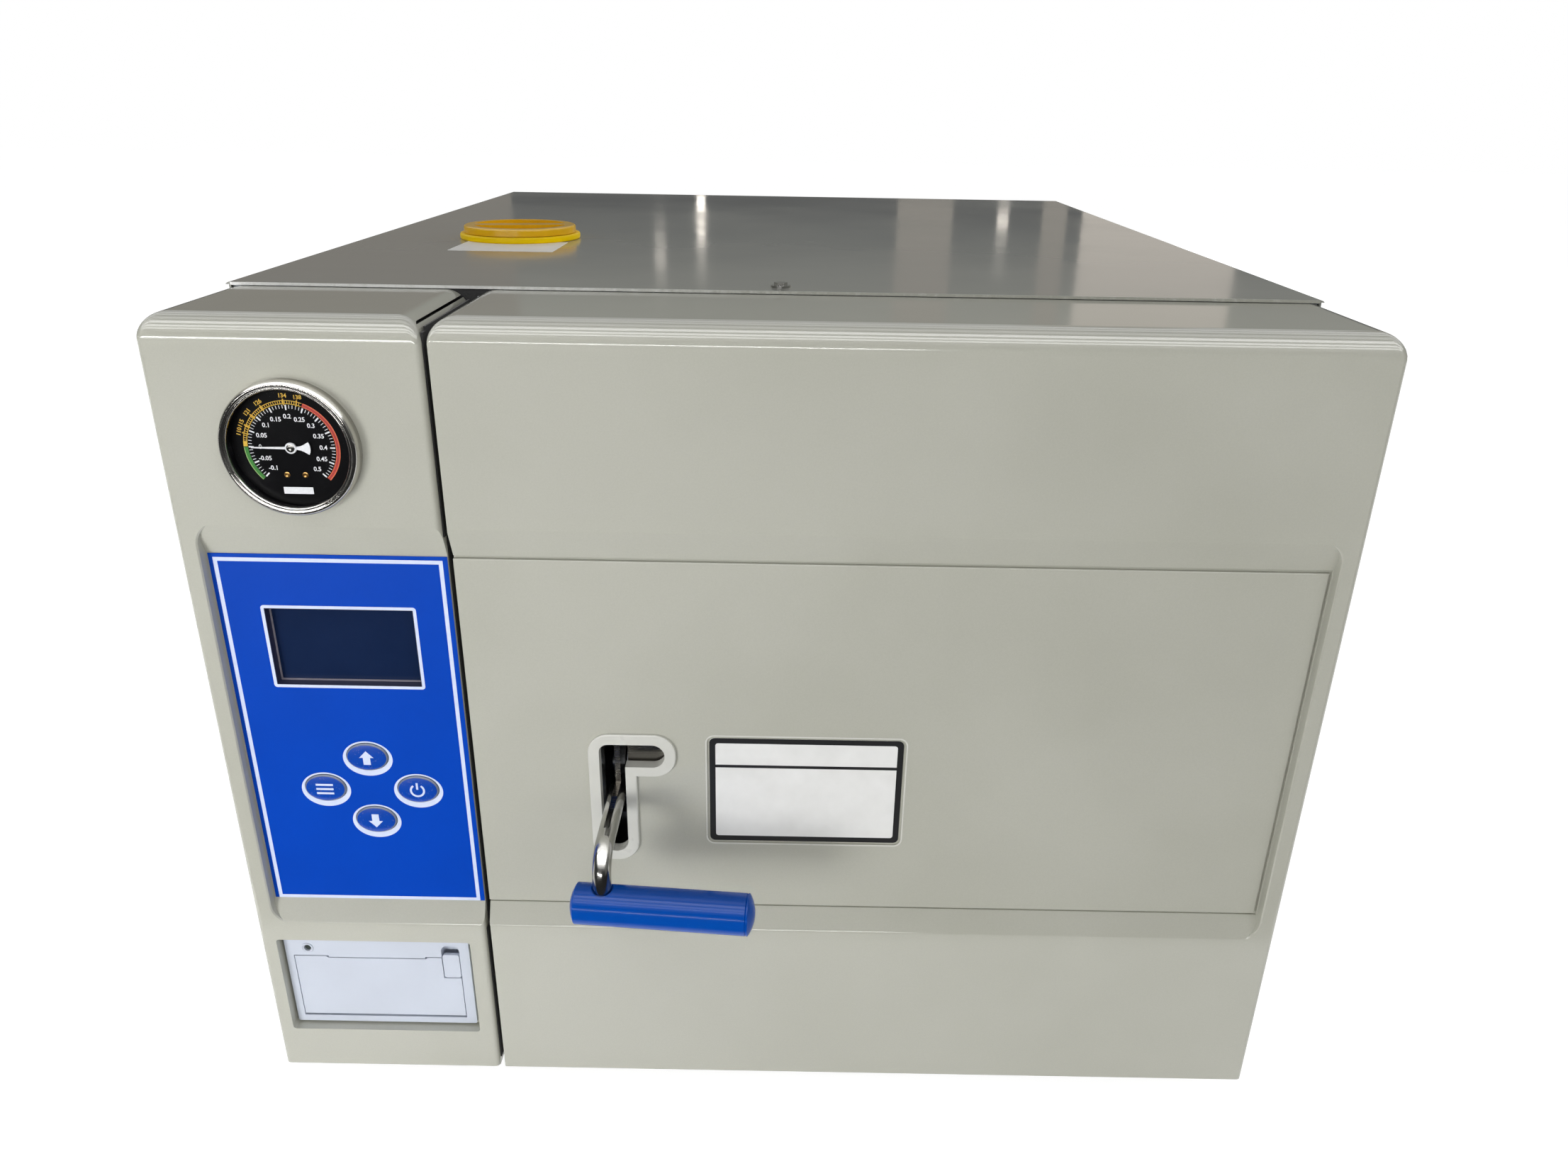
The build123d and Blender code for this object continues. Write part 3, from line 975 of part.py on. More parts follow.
def water_pump():
    pump = block(40, 100, 130, 170, FLOOR_Z, 60)
    return pump + disc_y(70, 34, 24, 165, 225)


def solenoid_valves():
    made = []
    for place in range(3):
        y = 280.0 + 60 * place
        valve = block(60, 100, y, y + 26, FLOOR_Z, 32) + block(64, 96, y - 4, y + 30, 32, 66)
        made.append(valve)
    return made


def main_board():
    """Power and control board on standoffs, with its transformer, relays and heat sink."""
    board = block(22, 182, REAR_Y - 190, REAR_Y - 60, 14, 15.6)
    for x in (30, 174):
        for y in (REAR_Y - 182, REAR_Y - 68):
            board += disc_z(x, y, 3.5, FLOOR_Z, 14.2)
    board += block(34, 84, REAR_Y - 170, REAR_Y - 125, 15, 55)
    for place in range(4):
        x = 96 + 21 * place
        board += block(x, x + 16, REAR_Y - 170, REAR_Y - 140, 15, 33)
    return board + block(110, 170, REAR_Y - 110, REAR_Y - 90, 15, 45)


def condenser_coil():
    """Finned tube behind the chamber, in the fan's air."""
    y = REAR_Y - 46
    points = []
    for run in range(6):
        z = FAN_Z - 60 + 24 * run
        ends = (FAN_X - 60, FAN_X + 60) if run % 2 == 0 else (FAN_X + 60, FAN_X - 60)
        points += [(ends[0], y, z), (ends[1], y, z)]
    path = FilletPolyline(*points, radius=11.5)
    coil = sweep(Plane(origin=path @ 0, z_dir=path % 0) * Circle(4), path)
    for side in (-1, 1):
        x = FAN_X + side * 40
        coil += block(x - 1, x + 1, y - 8, REAR_Y - 34, FAN_Z - 66, FAN_Z + 66)
    return coil


def fan_housing():
    """Axial fan's square frame on the rear panel, with the motor on its struts."""
    y0, half = REAR_Y - 34, FAN_RADIUS + 3
    frame = slab(rect(FAN_X - half, FAN_X + half, FAN_Z - half, FAN_Z + half, 4), y0, REAR_Y)
    frame -= disc_y(FAN_X, FAN_Z, FAN_RADIUS, y0 - 1, REAR_Y + 1)
    struts = Sketch() + [Rotation(0, 0, 90 * n) * Rectangle(2 * half - 4, 5) for n in range(2)]
    frame += slab(Pos(FAN_X, FAN_Z) * struts, y0, y0 + 4)
    return frame + disc_y(FAN_X, FAN_Z, 3, y0, y0 + 22)


def fan_rotor():
    y0 = REAR_Y - 28
    rotor = disc_y(FAN_X, FAN_Z, 20, y0, y0 + 22)
    for n in range(7):
        blade = Pos(FAN_X, y0 + 11, FAN_Z) * Rotation(0, 360 / 7 * n, 0) * Pos(36, 0, 0)
        rotor += blade * Rotation(30, 0, 0) * Box(34, 20, 1.6)
    return rotor - disc_y(FAN_X, FAN_Z, 3.1, y0 - 1, y0 + 18)


ROCKER_Z = INLET_Z + 16


def inlet_module():
    """Mains inlet with three flat pins below, and the power switch's frame above."""
    y0 = REAR_Y - 32
    body = slab(rect(INLET_X - 24, INLET_X + 24, INLET_Z - 30, INLET_Z + 30), y0, REAR_Y + 0.5)
    body += slab(rect(INLET_X - 27, INLET_X + 27, INLET_Z - 33, INLET_Z + 33, 3), REAR_Y + COVER_SHEET,
                 REAR_Y + COVER_SHEET + 2)
    body += slab(rect(INLET_X - 24, INLET_X + 24, INLET_Z - 30, INLET_Z + 30), REAR_Y, REAR_Y + 2)
    mouth = rect(INLET_X - 13, INLET_X + 13, INLET_Z - 24, INLET_Z - 4, 3)
    body -= slab(mouth, REAR_Y - 18, REAR_Y + 5)
    for x, z in ((-7, -17), (7, -17), (0, -11)):
        body += block(INLET_X + x - 1, INLET_X + x + 1, REAR_Y - 19, REAR_Y - 3, INLET_Z + z - 2.5,
                      INLET_Z + z + 2.5)
    body -= slab(rect(INLET_X - 11, INLET_X + 11, ROCKER_Z - 11, ROCKER_Z + 11, 1), REAR_Y - 14, REAR_Y + 5)
    return body + disc_x(REAR_Y - 4, ROCKER_Z, 1.4, INLET_X - 11.5, INLET_X + 11.5)


def power_rocker():
    """Rocker that tips about its cross pin."""
    y = REAR_Y - 4
    section = outline((y - 5, ROCKER_Z - 6), (y + 7.5, ROCKER_Z - 9.2), (y + 5.6, ROCKER_Z),
                      (y + 7.5, ROCKER_Z + 9.2), (y - 5, ROCKER_Z + 6))
    rocker = sheet_x(section, INLET_X - 10, INLET_X + 10)
    return rocker - disc_x(y, ROCKER_Z, 1.5, INLET_X - 12, INLET_X + 12)


def spigot(x, z, y0):
    """Barbed hose spigot through the rear panel."""
    y1 = REAR_Y + SPIGOT_LENGTH + 4
    body = disc_y(x, z, SPIGOT_RADIUS + 2, y0, REAR_Y + 4) + disc_y(x, z, SPIGOT_RADIUS, REAR_Y + 3, y1)
    return body - disc_y(x, z, SPIGOT_RADIUS - 2, y0 + 10, y1 + 1)


DRAIN_KNOB_Y = REAR_Y - 30


def drain_fittings():
    """Drain valve with its spigot, and the exhaust spigot beside it."""
    valve = spigot(DRAIN_X, DRAIN_Z, REAR_Y - 50) + block(DRAIN_X - 12, DRAIN_X + 12, REAR_Y - 50,
                                                           REAR_Y - 12, FLOOR_Z, DRAIN_Z + 12)
    valve -= disc_y(DRAIN_X, DRAIN_Z, SPIGOT_RADIUS - 2, REAR_Y - 30, REAR_Y + 40)
    valve -= disc_z(DRAIN_X, DRAIN_KNOB_Y, 4.1, DRAIN_Z + 4, DRAIN_Z + 20)
    exhaust = spigot(DRAIN_X + 60, DRAIN_Z, REAR_Y - 40)
    exhaust += block(DRAIN_X + 50, DRAIN_X + 70, REAR_Y - 40, REAR_Y - 20, FLOOR_Z, DRAIN_Z + 8)
    exhaust -= disc_y(DRAIN_X + 60, DRAIN_Z, SPIGOT_RADIUS - 2, REAR_Y - 30, REAR_Y + 40)
    return [valve, exhaust]


def drain_handle():
    """Quarter-turn handle on the drain valve's stem."""
    z = DRAIN_Z + 12 + FIT
    stem = disc_z(DRAIN_X, DRAIN_KNOB_Y, 4, DRAIN_Z + 4 + FIT, z + 4)
    return stem + block(DRAIN_X - 24, DRAIN_X + 24, DRAIN_KNOB_Y - 4, DRAIN_KNOB_Y + 4, z, z + 6)


VALVE = (CHAMBER_X + VALVE_RIGHT, CHAMBER_Z + VALVE_ABOVE)


def safety_valve():
    """Pipe from the chamber's head to the spring-loaded valve behind the rear panel."""
    x, z = VALVE
    valve = disc_y(x, z, 9, REAR_Y - 8, REAR_Y + 12)
    valve += slab(Pos(x, z) * RegularPolygon(12, 6), REAR_Y + COVER_SHEET, REAR_Y + 8)
    valve += disc_y(x, z, 6, REAR_Y + 11, REAR_Y + 20)
    return valve + disc_y(x, z, 5, CHAMBER_BACK, REAR_Y - 7)


# ---- the whole ------------------------------------------------------------------------------
def main():
    os.makedirs("parts", exist_ok=True)
    write("base_tray", base_tray())
    write("feet", *feet())
    write("front_frame", front_frame())
    write("rear_panel", rear_panel())
    write("top_cover", top_cover())
    write("cover_screws", *cover_screws())
    write("control_shell", control_shell())
    write("control_overlay", overlay())
    write("display_module", display_module())
    write("control_board", control_board())
    for name, (x, z) in key_places().items():
        write(name, key(x, z))
    write("gauge_bezel", gauge_bezel())
    write("gauge_lens", gauge_lens())
    write("gauge_case", gauge_case())
    write("gauge_dial", gauge_dial())
    write("gauge_needle", gauge_needle())
    write("printer_frame", printer_frame())
    write("printer_door", printer_door())
    write("printer_latch", printer_latch())
    write("paper_roll", paper_roll())
    write("door_shell", door_shell())
    write("slot_rim", slot_rim())
    write("gate_plate", gate_plate())
    write("label_plate", label_plate())
    write("pressure_door", pressure_door())
    write("door_gasket", door_gasket())
    write("door_liner", door_liner())
    write("door_yoke", door_yoke())
    write("latch_clevis", latch_clevis())
    write("door_post", door_post())
    write("frame_hinges", *hinge_leaves(), *hinge_pins())
    write("latch_lever", latch_lever())
    write("handle_rod", handle_rod())
    write("handle_grip", grip())
    write("grip_cap", grip_cap())
    write("latch_keeper", latch_keeper())
    write("chamber", chamber())
    write("chamber_flange", chamber_flange())
    write("heater_band", heater_band())
    write("insulation_jacket", insulation_jacket())
    write("temperature_probe", temperature_probe())
    write("tray_rack", tray_rack())
    write("trays", *[tray(level) for level in tray_levels()])
    write("water_tank", water_tank())
    write("filler_neck", filler_neck())
    write("filler_cap", filler_cap())
    write("water_pump", water_pump())
    write("solenoid_valves", *solenoid_valves())
    write("main_board", main_board())
    write("condenser_coil", condenser_coil())
    write("fan_housing", fan_housing())
    write("fan_rotor", fan_rotor())
    write("inlet_module", inlet_module())
    write("power_rocker", power_rocker())
    write("drain_fittings", *drain_fittings())
    write("drain_handle", drain_handle())
    write("safety_valve", safety_valve())


main()
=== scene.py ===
# Benchtop steam autoclave: a sheet-metal housing with two plastic front mouldings, a door that
# swings on its right side, and the controls, gauge and printer in the narrow moulding on the left.
import math

import bmesh
import bpy
from mathutils import Matrix, Vector


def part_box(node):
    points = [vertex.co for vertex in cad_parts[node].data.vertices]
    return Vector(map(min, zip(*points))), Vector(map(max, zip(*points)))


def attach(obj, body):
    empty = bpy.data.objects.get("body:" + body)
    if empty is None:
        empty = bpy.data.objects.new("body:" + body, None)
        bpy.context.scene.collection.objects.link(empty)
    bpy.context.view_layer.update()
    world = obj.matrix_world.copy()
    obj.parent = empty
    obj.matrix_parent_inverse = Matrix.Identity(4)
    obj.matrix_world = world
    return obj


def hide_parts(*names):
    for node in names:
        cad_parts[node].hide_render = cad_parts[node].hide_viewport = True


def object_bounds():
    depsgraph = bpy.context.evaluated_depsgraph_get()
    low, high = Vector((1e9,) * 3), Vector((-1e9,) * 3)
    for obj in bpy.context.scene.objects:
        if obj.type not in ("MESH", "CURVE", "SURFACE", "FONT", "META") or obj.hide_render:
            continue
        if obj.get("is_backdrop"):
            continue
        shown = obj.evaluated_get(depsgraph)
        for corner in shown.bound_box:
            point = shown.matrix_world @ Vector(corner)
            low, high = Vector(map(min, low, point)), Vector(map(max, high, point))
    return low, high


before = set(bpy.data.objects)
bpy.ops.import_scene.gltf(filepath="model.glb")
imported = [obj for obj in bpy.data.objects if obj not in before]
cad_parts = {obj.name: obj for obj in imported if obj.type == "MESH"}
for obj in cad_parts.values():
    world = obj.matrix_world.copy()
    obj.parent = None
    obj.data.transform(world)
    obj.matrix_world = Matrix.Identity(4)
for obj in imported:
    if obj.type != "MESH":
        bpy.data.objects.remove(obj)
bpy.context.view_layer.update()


# ---- view of the front ---------------------------------------------------------------------
# The machine stands on a bench and is looked at from just above its lid, half a metre in front
# of the door. Places are millimetres from the front panel's lower left corner.
LEFT, FRONT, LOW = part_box("control_shell")[0]


def at(x, y, z):
    """Point that many millimetres right, back and up from the front panel's corner."""
    return Vector((LEFT + x / 1000, FRONT + y / 1000, LOW + z / 1000))


EYE = (308.6, -531.07, 558.98)
YAW, PITCH, ROLL = -0.0015, 0.4061, -0.0169
LENS = 25.885

ahead = Vector((math.sin(YAW) * math.cos(PITCH), math.cos(YAW) * math.cos(PITCH), -math.sin(PITCH)))
level = Vector((math.cos(YAW), -math.sin(YAW), 0))
down = ahead.cross(level)
across = math.cos(ROLL) * level + math.sin(ROLL) * down
down = -math.sin(ROLL) * level + math.cos(ROLL) * down
lens = bpy.data.cameras.new("bench_view")
lens.lens, lens.sensor_width, lens.clip_start = LENS, 36.0, 0.02
camera = bpy.data.objects.new("bench_view", lens)
bpy.context.scene.collection.objects.link(camera)
camera.matrix_world = Matrix.Translation(at(*EYE)) @ Matrix((across, -down, -ahead)).transposed().to_4x4()
bpy.context.scene.camera = camera


# ---- front mouldings -----------------------------------------------------------------------
# Control shell and door shell: warm grey ABS, injection moulded with 3 mm walls. The tool is
# spark-eroded, which leaves an even fine grain; the slot's rim is a separate, smoother moulding.
def linear(hexcode):
    """sRGB hex as a linear colour."""
    parts = [int(hexcode[i:i + 2], 16) / 255 for i in (0, 2, 4)]
    return [p / 12.92 if p <= 0.04045 else ((p + 0.055) / 1.055) ** 2.4 for p in parts] + [1.0]


def fill(made, inputs):
    """Gives a node's inputs their values or links."""
    for socket, value in inputs.items():
        if isinstance(value, bpy.types.NodeSocket):
            made.id_data.links.new(value, made.inputs[socket])
        else:
            made.inputs[socket].default_value = value


def node(tree, kind, inputs=None, **settings):
    """Adds a node with its settings, values and links."""
    made = tree.nodes.new(kind)
    for name, value in settings.items():
        setattr(made, name, value)
    fill(made, inputs or {})
    return made


def finish(name, **values):
    """New material, its nodes, its shader with plain values set, and the place on the piece."""
    made = bpy.data.materials.new(name)
    made.use_nodes = True
    tree = made.node_tree
    shader = tree.nodes["Principled BSDF"]
    for socket, value in values.items():
        shader.inputs[socket.replace("_", " ")].default_value = value
    return made, tree, shader, node(tree, "ShaderNodeTexCoord").outputs["Object"]


def per_mm(size):
    """Scale of a pattern whose features are that many millimetres across."""
    return 1000.0 / size


def dress(material, *names):
    """Puts a material on CAD pieces that keep their own shape."""
    for name in names:
        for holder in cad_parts[name].material_slots:
            holder.material = material


# Fine grain under a glossy skin: clear but soft reflections, and cloudy, slightly darker handled patches.
ABS_GREY, ABS_HANDLED = "bebeb3", "b5b5a9"
moulded_abs, tree, shader, place = finish("moulded_abs", Roughness=0.09, IOR=1.53)
grain = node(tree, "ShaderNodeTexNoise", {"Vector": place, "Scale": per_mm(0.9), "Detail": 4.0,
                                          "Roughness": 0.65})
cloud = node(tree, "ShaderNodeTexNoise", {"Vector": place, "Scale": per_mm(160), "Detail": 3.0})
speck = node(tree, "ShaderNodeMapRange", {"Value": grain.outputs["Fac"], "From Min": 0.35, "From Max": 0.65,
                                          "To Min": 0.0, "To Max": 0.35})
patch = node(tree, "ShaderNodeMapRange", {"Value": cloud.outputs["Fac"], "From Min": 0.4, "From Max": 0.65,
                                          "To Min": 0.0, "To Max": 0.65})
both = node(tree, "ShaderNodeMath", {0: speck.outputs[0], 1: patch.outputs[0]}, operation="ADD",
            use_clamp=True)
tone = node(tree, "ShaderNodeMix", {0: both.outputs[0], 6: linear(ABS_GREY), 7: linear(ABS_HANDLED)},
            data_type="RGBA")
relief = node(tree, "ShaderNodeBump", {"Height": grain.outputs["Fac"], "Strength": 0.12, "Distance": 0.00006})
fill(shader, {"Base Color": tone.outputs[2], "Normal": relief.outputs["Normal"]})
dress(moulded_abs, "control_shell", "door_shell")

# The rim is polished in the tool and shines along its edges; its colour is painted a shade lighter than the
# shell's, as a painted highlight.
satin_abs_highlight, tree, shader, place = finish("satin_abs_highlight", Roughness=0.33, IOR=1.53)
rub = node(tree, "ShaderNodeTexNoise", {"Vector": place, "Scale": per_mm(14), "Detail": 5.0})
tone = node(tree, "ShaderNodeMix", {0: rub.outputs["Fac"], 6: linear("d8d8d1"), 7: linear("cbcbc3")},
            data_type="RGBA")
shine = node(tree, "ShaderNodeMapRange", {"Value": rub.outputs["Fac"], "From Min": 0.3, "From Max": 0.7,
                                          "To Min": 0.26, "To Max": 0.4})
fill(shader, {"Base Color": tone.outputs[2], "Roughness": shine.outputs[0]})
dress(satin_abs_highlight, "slot_rim")


# ---- control overlay -----------------------------------------------------------------------
# Blue polycarbonate film, screen-printed from behind and stuck into the shell's recess. A pale
# line frames it, and the display's window has a pale rounded border of its own.
FILM_FRONT = 6.0
INK = 0.05
BORDER = (15.3, 129.7, 126.0, 337.8)
BORDER_LINE, BORDER_CORNER = 2.1, 0.2


def piece(name, points, faces, material, body="housing", smooth=False):
    """Mesh piece from millimetre points, in its material, riding on a body."""
    mesh = bpy.data.meshes.new(name)
    mesh.from_pydata([at(*point) for point in points], [], faces)
    build = bmesh.new()
    build.from_mesh(mesh)
    bmesh.ops.remove_doubles(build, verts=build.verts, dist=1e-6)
    bmesh.ops.recalc_face_normals(build, faces=build.faces)
    build.to_mesh(mesh)
    build.free()
    mesh.polygons.foreach_set("use_smooth", [smooth] * len(mesh.polygons))
    mesh.materials.append(material)
    made = bpy.data.objects.new(name, mesh)
    bpy.context.scene.collection.objects.link(made)
    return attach(made, body)


def rounded(x0, x1, z0, z1, radius, steps=6):
    """Points of a rectangle with rounded corners."""
    corners = ((x1 - radius, z0 + radius, -90), (x1 - radius, z1 - radius, 0),
               (x0 + radius, z1 - radius, 90), (x0 + radius, z0 + radius, 180))
    points = []
    for x, z, start in corners:
        for step in range(steps + 1):
            turn = math.radians(start + 90 * step / steps)
            points.append((x + radius * math.cos(turn), z + radius * math.sin(turn)))
    return points


def oval(x, z, rx, rz, steps=72):
    """Points of an ellipse."""
    turns = [2 * math.pi * step / steps for step in range(steps)]
    return [(x + rx * math.cos(turn), z + rz * math.sin(turn)) for turn in turns]


def flat(name, edge, y0, y1, material, hole=None, body="housing"):
    """Flat piece between two depths; its hole has as many points as its edge."""
    count = len(edge)
    loops = [edge, hole] if hole else [edge]
    points = [(x, y, z) for loop in loops for y in (y0, y1) for x, z in loop]
    spans = [(2 * n * count, (2 * n + 1) * count) for n in range(len(loops))]
    if hole:
        spans += [(0, 2 * count), (count, 3 * count)]
    faces = [(a + i, a + (i + 1) % count, b + (i + 1) % count, b + i) for a, b in spans for i in range(count)]
    if not hole:
        faces += [tuple(range(count)), tuple(range(count, 2 * count))]
    return piece(name, points, faces, material, body)


def mottled(name, first, second, size, detail, **values):
    """Material whose colour drifts between two shades, in clouds that many millimetres across."""
    made, tree, shader, place = finish(name, **values)
    cloud = node(tree, "ShaderNodeTexNoise", {"Vector": place, "Scale": per_mm(size), "Detail": detail})
    tone = node(tree, "ShaderNodeMix", {0: cloud.outputs["Fac"], 6: linear(first), 7: linear(second)},
                data_type="RGBA")
    fill(shader, {"Base Color": tone.outputs[2]})
    return made


# Matt polycarbonate: the colour is behind the film, the face has a very fine emboss and dull shine.
overlay_film, tree, shader, place = finish("overlay_film", Roughness=0.34, Specular_IOR_Level=0.06)
emboss = node(tree, "ShaderNodeTexNoise", {"Vector": place, "Scale": per_mm(0.7), "Detail": 2.0})
ink_depth = node(tree, "ShaderNodeTexNoise", {"Vector": place, "Scale": per_mm(45), "Detail": 4.0})
tone = node(tree, "ShaderNodeMix", {0: ink_depth.outputs["Fac"], 6: linear("0046be"), 7: linear("0040b0")},
            data_type="RGBA")
relief = node(tree, "ShaderNodeBump", {"Height": emboss.outputs["Fac"], "Strength": 0.25,
                                       "Distance": 0.00005})
fill(shader, {"Base Color": tone.outputs[2], "Normal": relief.outputs["Normal"]})
dress(overlay_film, "control_overlay")

# Screen-printed white: opaque and a little uneven in thickness, so the blue tints it.
pale_ink = mottled("pale_ink", "dfe7fb", "cdd9f5", 3, 4.0, Roughness=0.38)

x0, x1, z0, z1 = BORDER
flat("overlay_border",
     rounded(x0 - BORDER_LINE, x1 + BORDER_LINE, z0 - BORDER_LINE, z1 + BORDER_LINE, BORDER_CORNER),
     FILM_FRONT - INK, FILM_FRONT + INK, pale_ink, hole=rounded(x0, x1, z0, z1, BORDER_CORNER))


# ---- display -------------------------------------------------------------------------------
# Liquid crystal module behind the film's window: a black gasket lines the opening, a grey bezel
# holds the glass, and the switched-off glass is a deep navy.
MODULE_MARGIN = 2.0
WINDOW_LINE, LINE_CORNER, WINDOW_CORNER = 1.7, 1.8, 0.4
GASKET = 0.35
BEZEL_WIDTH, BEZEL_THICK = 0.9, 0.8
PANE_LAP, PANE_FRONT = 0.1, 0.3
GASKET_SLIP, SLIP = 0.02, 0.05       # so that neighbouring faces don't lie in one plane


def span(box):
    """Low and high corner of a box, in millimetres from the front panel's corner."""
    return [[(value - start) * 1000 for value, start in zip(corner, (LEFT, FRONT, LOW))] for corner in box]


def inset(edges, amount, radius=0.3):
    """Rounded rectangle that much inside four edges: left, right, bottom and top."""
    x0, x1, z0, z1 = edges
    return rounded(x0 + amount, x1 - amount, z0 + amount, z1 - amount, radius)


low, high = span(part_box("display_module"))
window = (low[0] + MODULE_MARGIN, high[0] - MODULE_MARGIN, low[2] + MODULE_MARGIN, high[2] - MODULE_MARGIN)
module_front = low[1]
flat("display_border", inset(window, -WINDOW_LINE, LINE_CORNER), FILM_FRONT - INK, FILM_FRONT + INK, pale_ink,
     hole=inset(window, 0, WINDOW_CORNER))

# Black-blue silicone gasket: soft sheen, only the light from the window reaches it.
gasket_navy = mottled("gasket_navy", "141b44", "20264a", 2, 5.0, Roughness=0.5)
flat("display_gasket", inset(window, GASKET_SLIP), FILM_FRONT - INK, module_front, gasket_navy,
     hole=inset(window, GASKET))

# Bezel: grey acetal with a bright moulded edge.
bezel_grey = mottled("bezel_grey", "8a8591", "a29ca6", 5, 3.0, Roughness=0.3)
flat("display_bezel", inset(window, GASKET + SLIP), module_front - BEZEL_THICK, module_front - SLIP,
     bezel_grey, hole=inset(window, GASKET + BEZEL_WIDTH))

# Switched-off liquid crystal glass: nearly black navy with a hard shine and a faint cloudiness.
display_glass, tree, shader, place = finish("display_glass", Roughness=0.12, IOR=1.5, Coat_Weight=0.4,
                                            Coat_Roughness=0.05)
haze = node(tree, "ShaderNodeTexNoise", {"Vector": place, "Scale": per_mm(28), "Detail": 5.0,
                                         "Roughness": 0.6})
tone = node(tree, "ShaderNodeMix", {0: haze.outputs["Fac"], 6: linear("0d1f40"), 7: linear("16284c")},
            data_type="RGBA")
fill(shader, {"Base Color": tone.outputs[2]})
dress(display_glass, "display_module")
flat("display_pane", inset(window, GASKET + BEZEL_WIDTH - PANE_LAP), module_front - PANE_FRONT,
     module_front + PANE_LAP, display_glass)


# ---- keys ----------------------------------------------------------------------------------
# Four oval push keys: a grey collar, a blue domed crown set in it and a printed white symbol.
# Each stands in a hole in the film, inside a broad white ring that is printed a little low.
KEY_RX, KEY_RZ, COLLAR = 11.6, 8.6, 0.85
CROWN_BASE, CROWN_EDGE, CROWN_TOP = 5.2, 4.8, 4.2       # depths behind the panel's front
CROWN_STEPS = (1.0, 0.985, 0.93, 0.82, 0.65, 0.4, 0.0)  # shares of its radius
RING_RX, RING_RZ, RING_DROP, RING_ROOM = 13.8, 11.1, 1.3, 0.3
SYMBOL_SIZE, SYMBOL_RISE, SYMBOL_ROOT = 1.15, 0.04, 0.2


def lathe(name, profile, x, z, material, body="housing", steps=96):
    """Turned or oval piece about a front-to-back axis; its profile is (x radius, z radius, depth)."""
    count = len(profile)
    points = []
    for step in range(steps):
        turn = 2 * math.pi * step / steps
        points += [(x + rx * math.cos(turn), y, z + rz * math.sin(turn)) for rx, rz, y in profile]
    faces = [(step * count + i, step * count + (i + 1) % count,
              (step + 1) % steps * count + (i + 1) % count, (step + 1) % steps * count + i)
             for step in range(steps) for i in range(count)]
    return piece(name, points, faces, material, body, smooth=True)


# Collar: mid-grey nylon, dull from fingers.
collar_nylon = mottled("collar_nylon", "747f92", "667083", 4, 5.0, Roughness=0.42)

# Crown: blue-tinted epoxy dome, glossy, with fine handling marks.
crown_resin, tree, shader, place = finish("crown_resin", Roughness=0.2, IOR=1.45, Coat_Weight=0.25,
                                          Coat_Roughness=0.1)
marks = node(tree, "ShaderNodeTexNoise", {"Vector": place, "Scale": per_mm(1.5), "Detail": 6.0})
tone = node(tree, "ShaderNodeMix", {0: marks.outputs["Fac"], 6: linear("0047b8"), 7: linear("0040a4")},
            data_type="RGBA")
shine = node(tree, "ShaderNodeMapRange", {"Value": marks.outputs["Fac"], "From Min": 0.3, "From Max": 0.7,
                                          "To Min": 0.16, "To Max": 0.3})
fill(shader, {"Base Color": tone.outputs[2], "Roughness": shine.outputs[0]})

arrow = [(-1.75, -3.7), (1.75, -3.7), (1.75, 0.2), (3.5, 0.2), (0, 3.9), (-3.5, 0.2), (-1.75, 0.2)]
bars = [[(-4.2, z - 0.55), (4.2, z - 0.55), (4.2, z + 0.55), (-4.2, z + 0.55)] for z in (-2.4, 0, 2.4)]
power_arc = []
for radius, turns in ((3.7, range(125, 416, 10)), (2.7, range(415, 124, -10))):
    power_arc += [(radius * math.cos(math.radians(t)), radius * math.sin(math.radians(t))) for t in turns]
power_bar = [(-0.5, 0.6), (0.5, 0.6), (0.5, 4.3), (-0.5, 4.3)]
symbols = {
    "key_up": [arrow],
    "key_down": [[(x, -z) for x, z in arrow]],
    "key_left": bars,
    "key_right": [power_arc, power_bar],
}
crown_rx, crown_rz = KEY_RX - COLLAR, KEY_RZ - COLLAR
dome = [(crown_rx * s, crown_rz * s, CROWN_TOP + (CROWN_EDGE - CROWN_TOP) * s ** 4) for s in CROWN_STEPS]
dome = [(crown_rx, crown_rz, CROWN_BASE)] + dome + [(0, 0, CROWN_BASE)]
for name, shapes in symbols.items():
    dress(collar_nylon, name)
    low, high = span(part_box(name))
    x, z = (low[0] + high[0]) / 2, (low[2] + high[2]) / 2
    flat(name + "_ring", oval(x, z - RING_DROP, RING_RX, RING_RZ), FILM_FRONT - INK, FILM_FRONT + INK,
         pale_ink, hole=oval(x, z, KEY_RX + RING_ROOM, KEY_RZ + RING_ROOM))
    lathe(name + "_crown", dome, x, z, crown_resin, body=name)
    for n, shape in enumerate(shapes):
        flat(f"{name}_symbol_{n}", [(x + SYMBOL_SIZE * dx, z + SYMBOL_SIZE * dz) for dx, dz in shape],
             CROWN_TOP - SYMBOL_RISE, CROWN_TOP + SYMBOL_ROOT, pale_ink, body=name)


# ---- pressure gauge ------------------------------------------------------------------------
# Bourdon gauge: a rolled, chromed bezel holds the glass over a black lacquered dial. Scale,
# coloured arcs and plain numbers are pad-printed; the white needle rests at nought.
low, high = span(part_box("gauge_bezel"))
gauge_x, gauge_z = (low[0] + high[0]) / 2, (low[2] + high[2]) / 2
dial_front = span(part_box("gauge_dial"))[0][1]
BEZEL_PROFILE = ((31.0, 0.0), (33.9, 0.0), (34.0, -0.8), (33.95, -3.6), (33.7, -5.2), (33.2, -6.4),
                 (32.5, -7.1), (31.7, -7.3), (31.1, -7.0), (30.8, -6.5), (30.6, -6.55), (30.3, -6.8),
                 (29.9, -6.7), (29.6, -6.2), (29.45, -5.4), (29.4, -4.1), (31.0, -4.1))
SCALE_ZERO, SCALE_STEP = 180.0, -4.5                     # degrees at nought, and for each hundredth
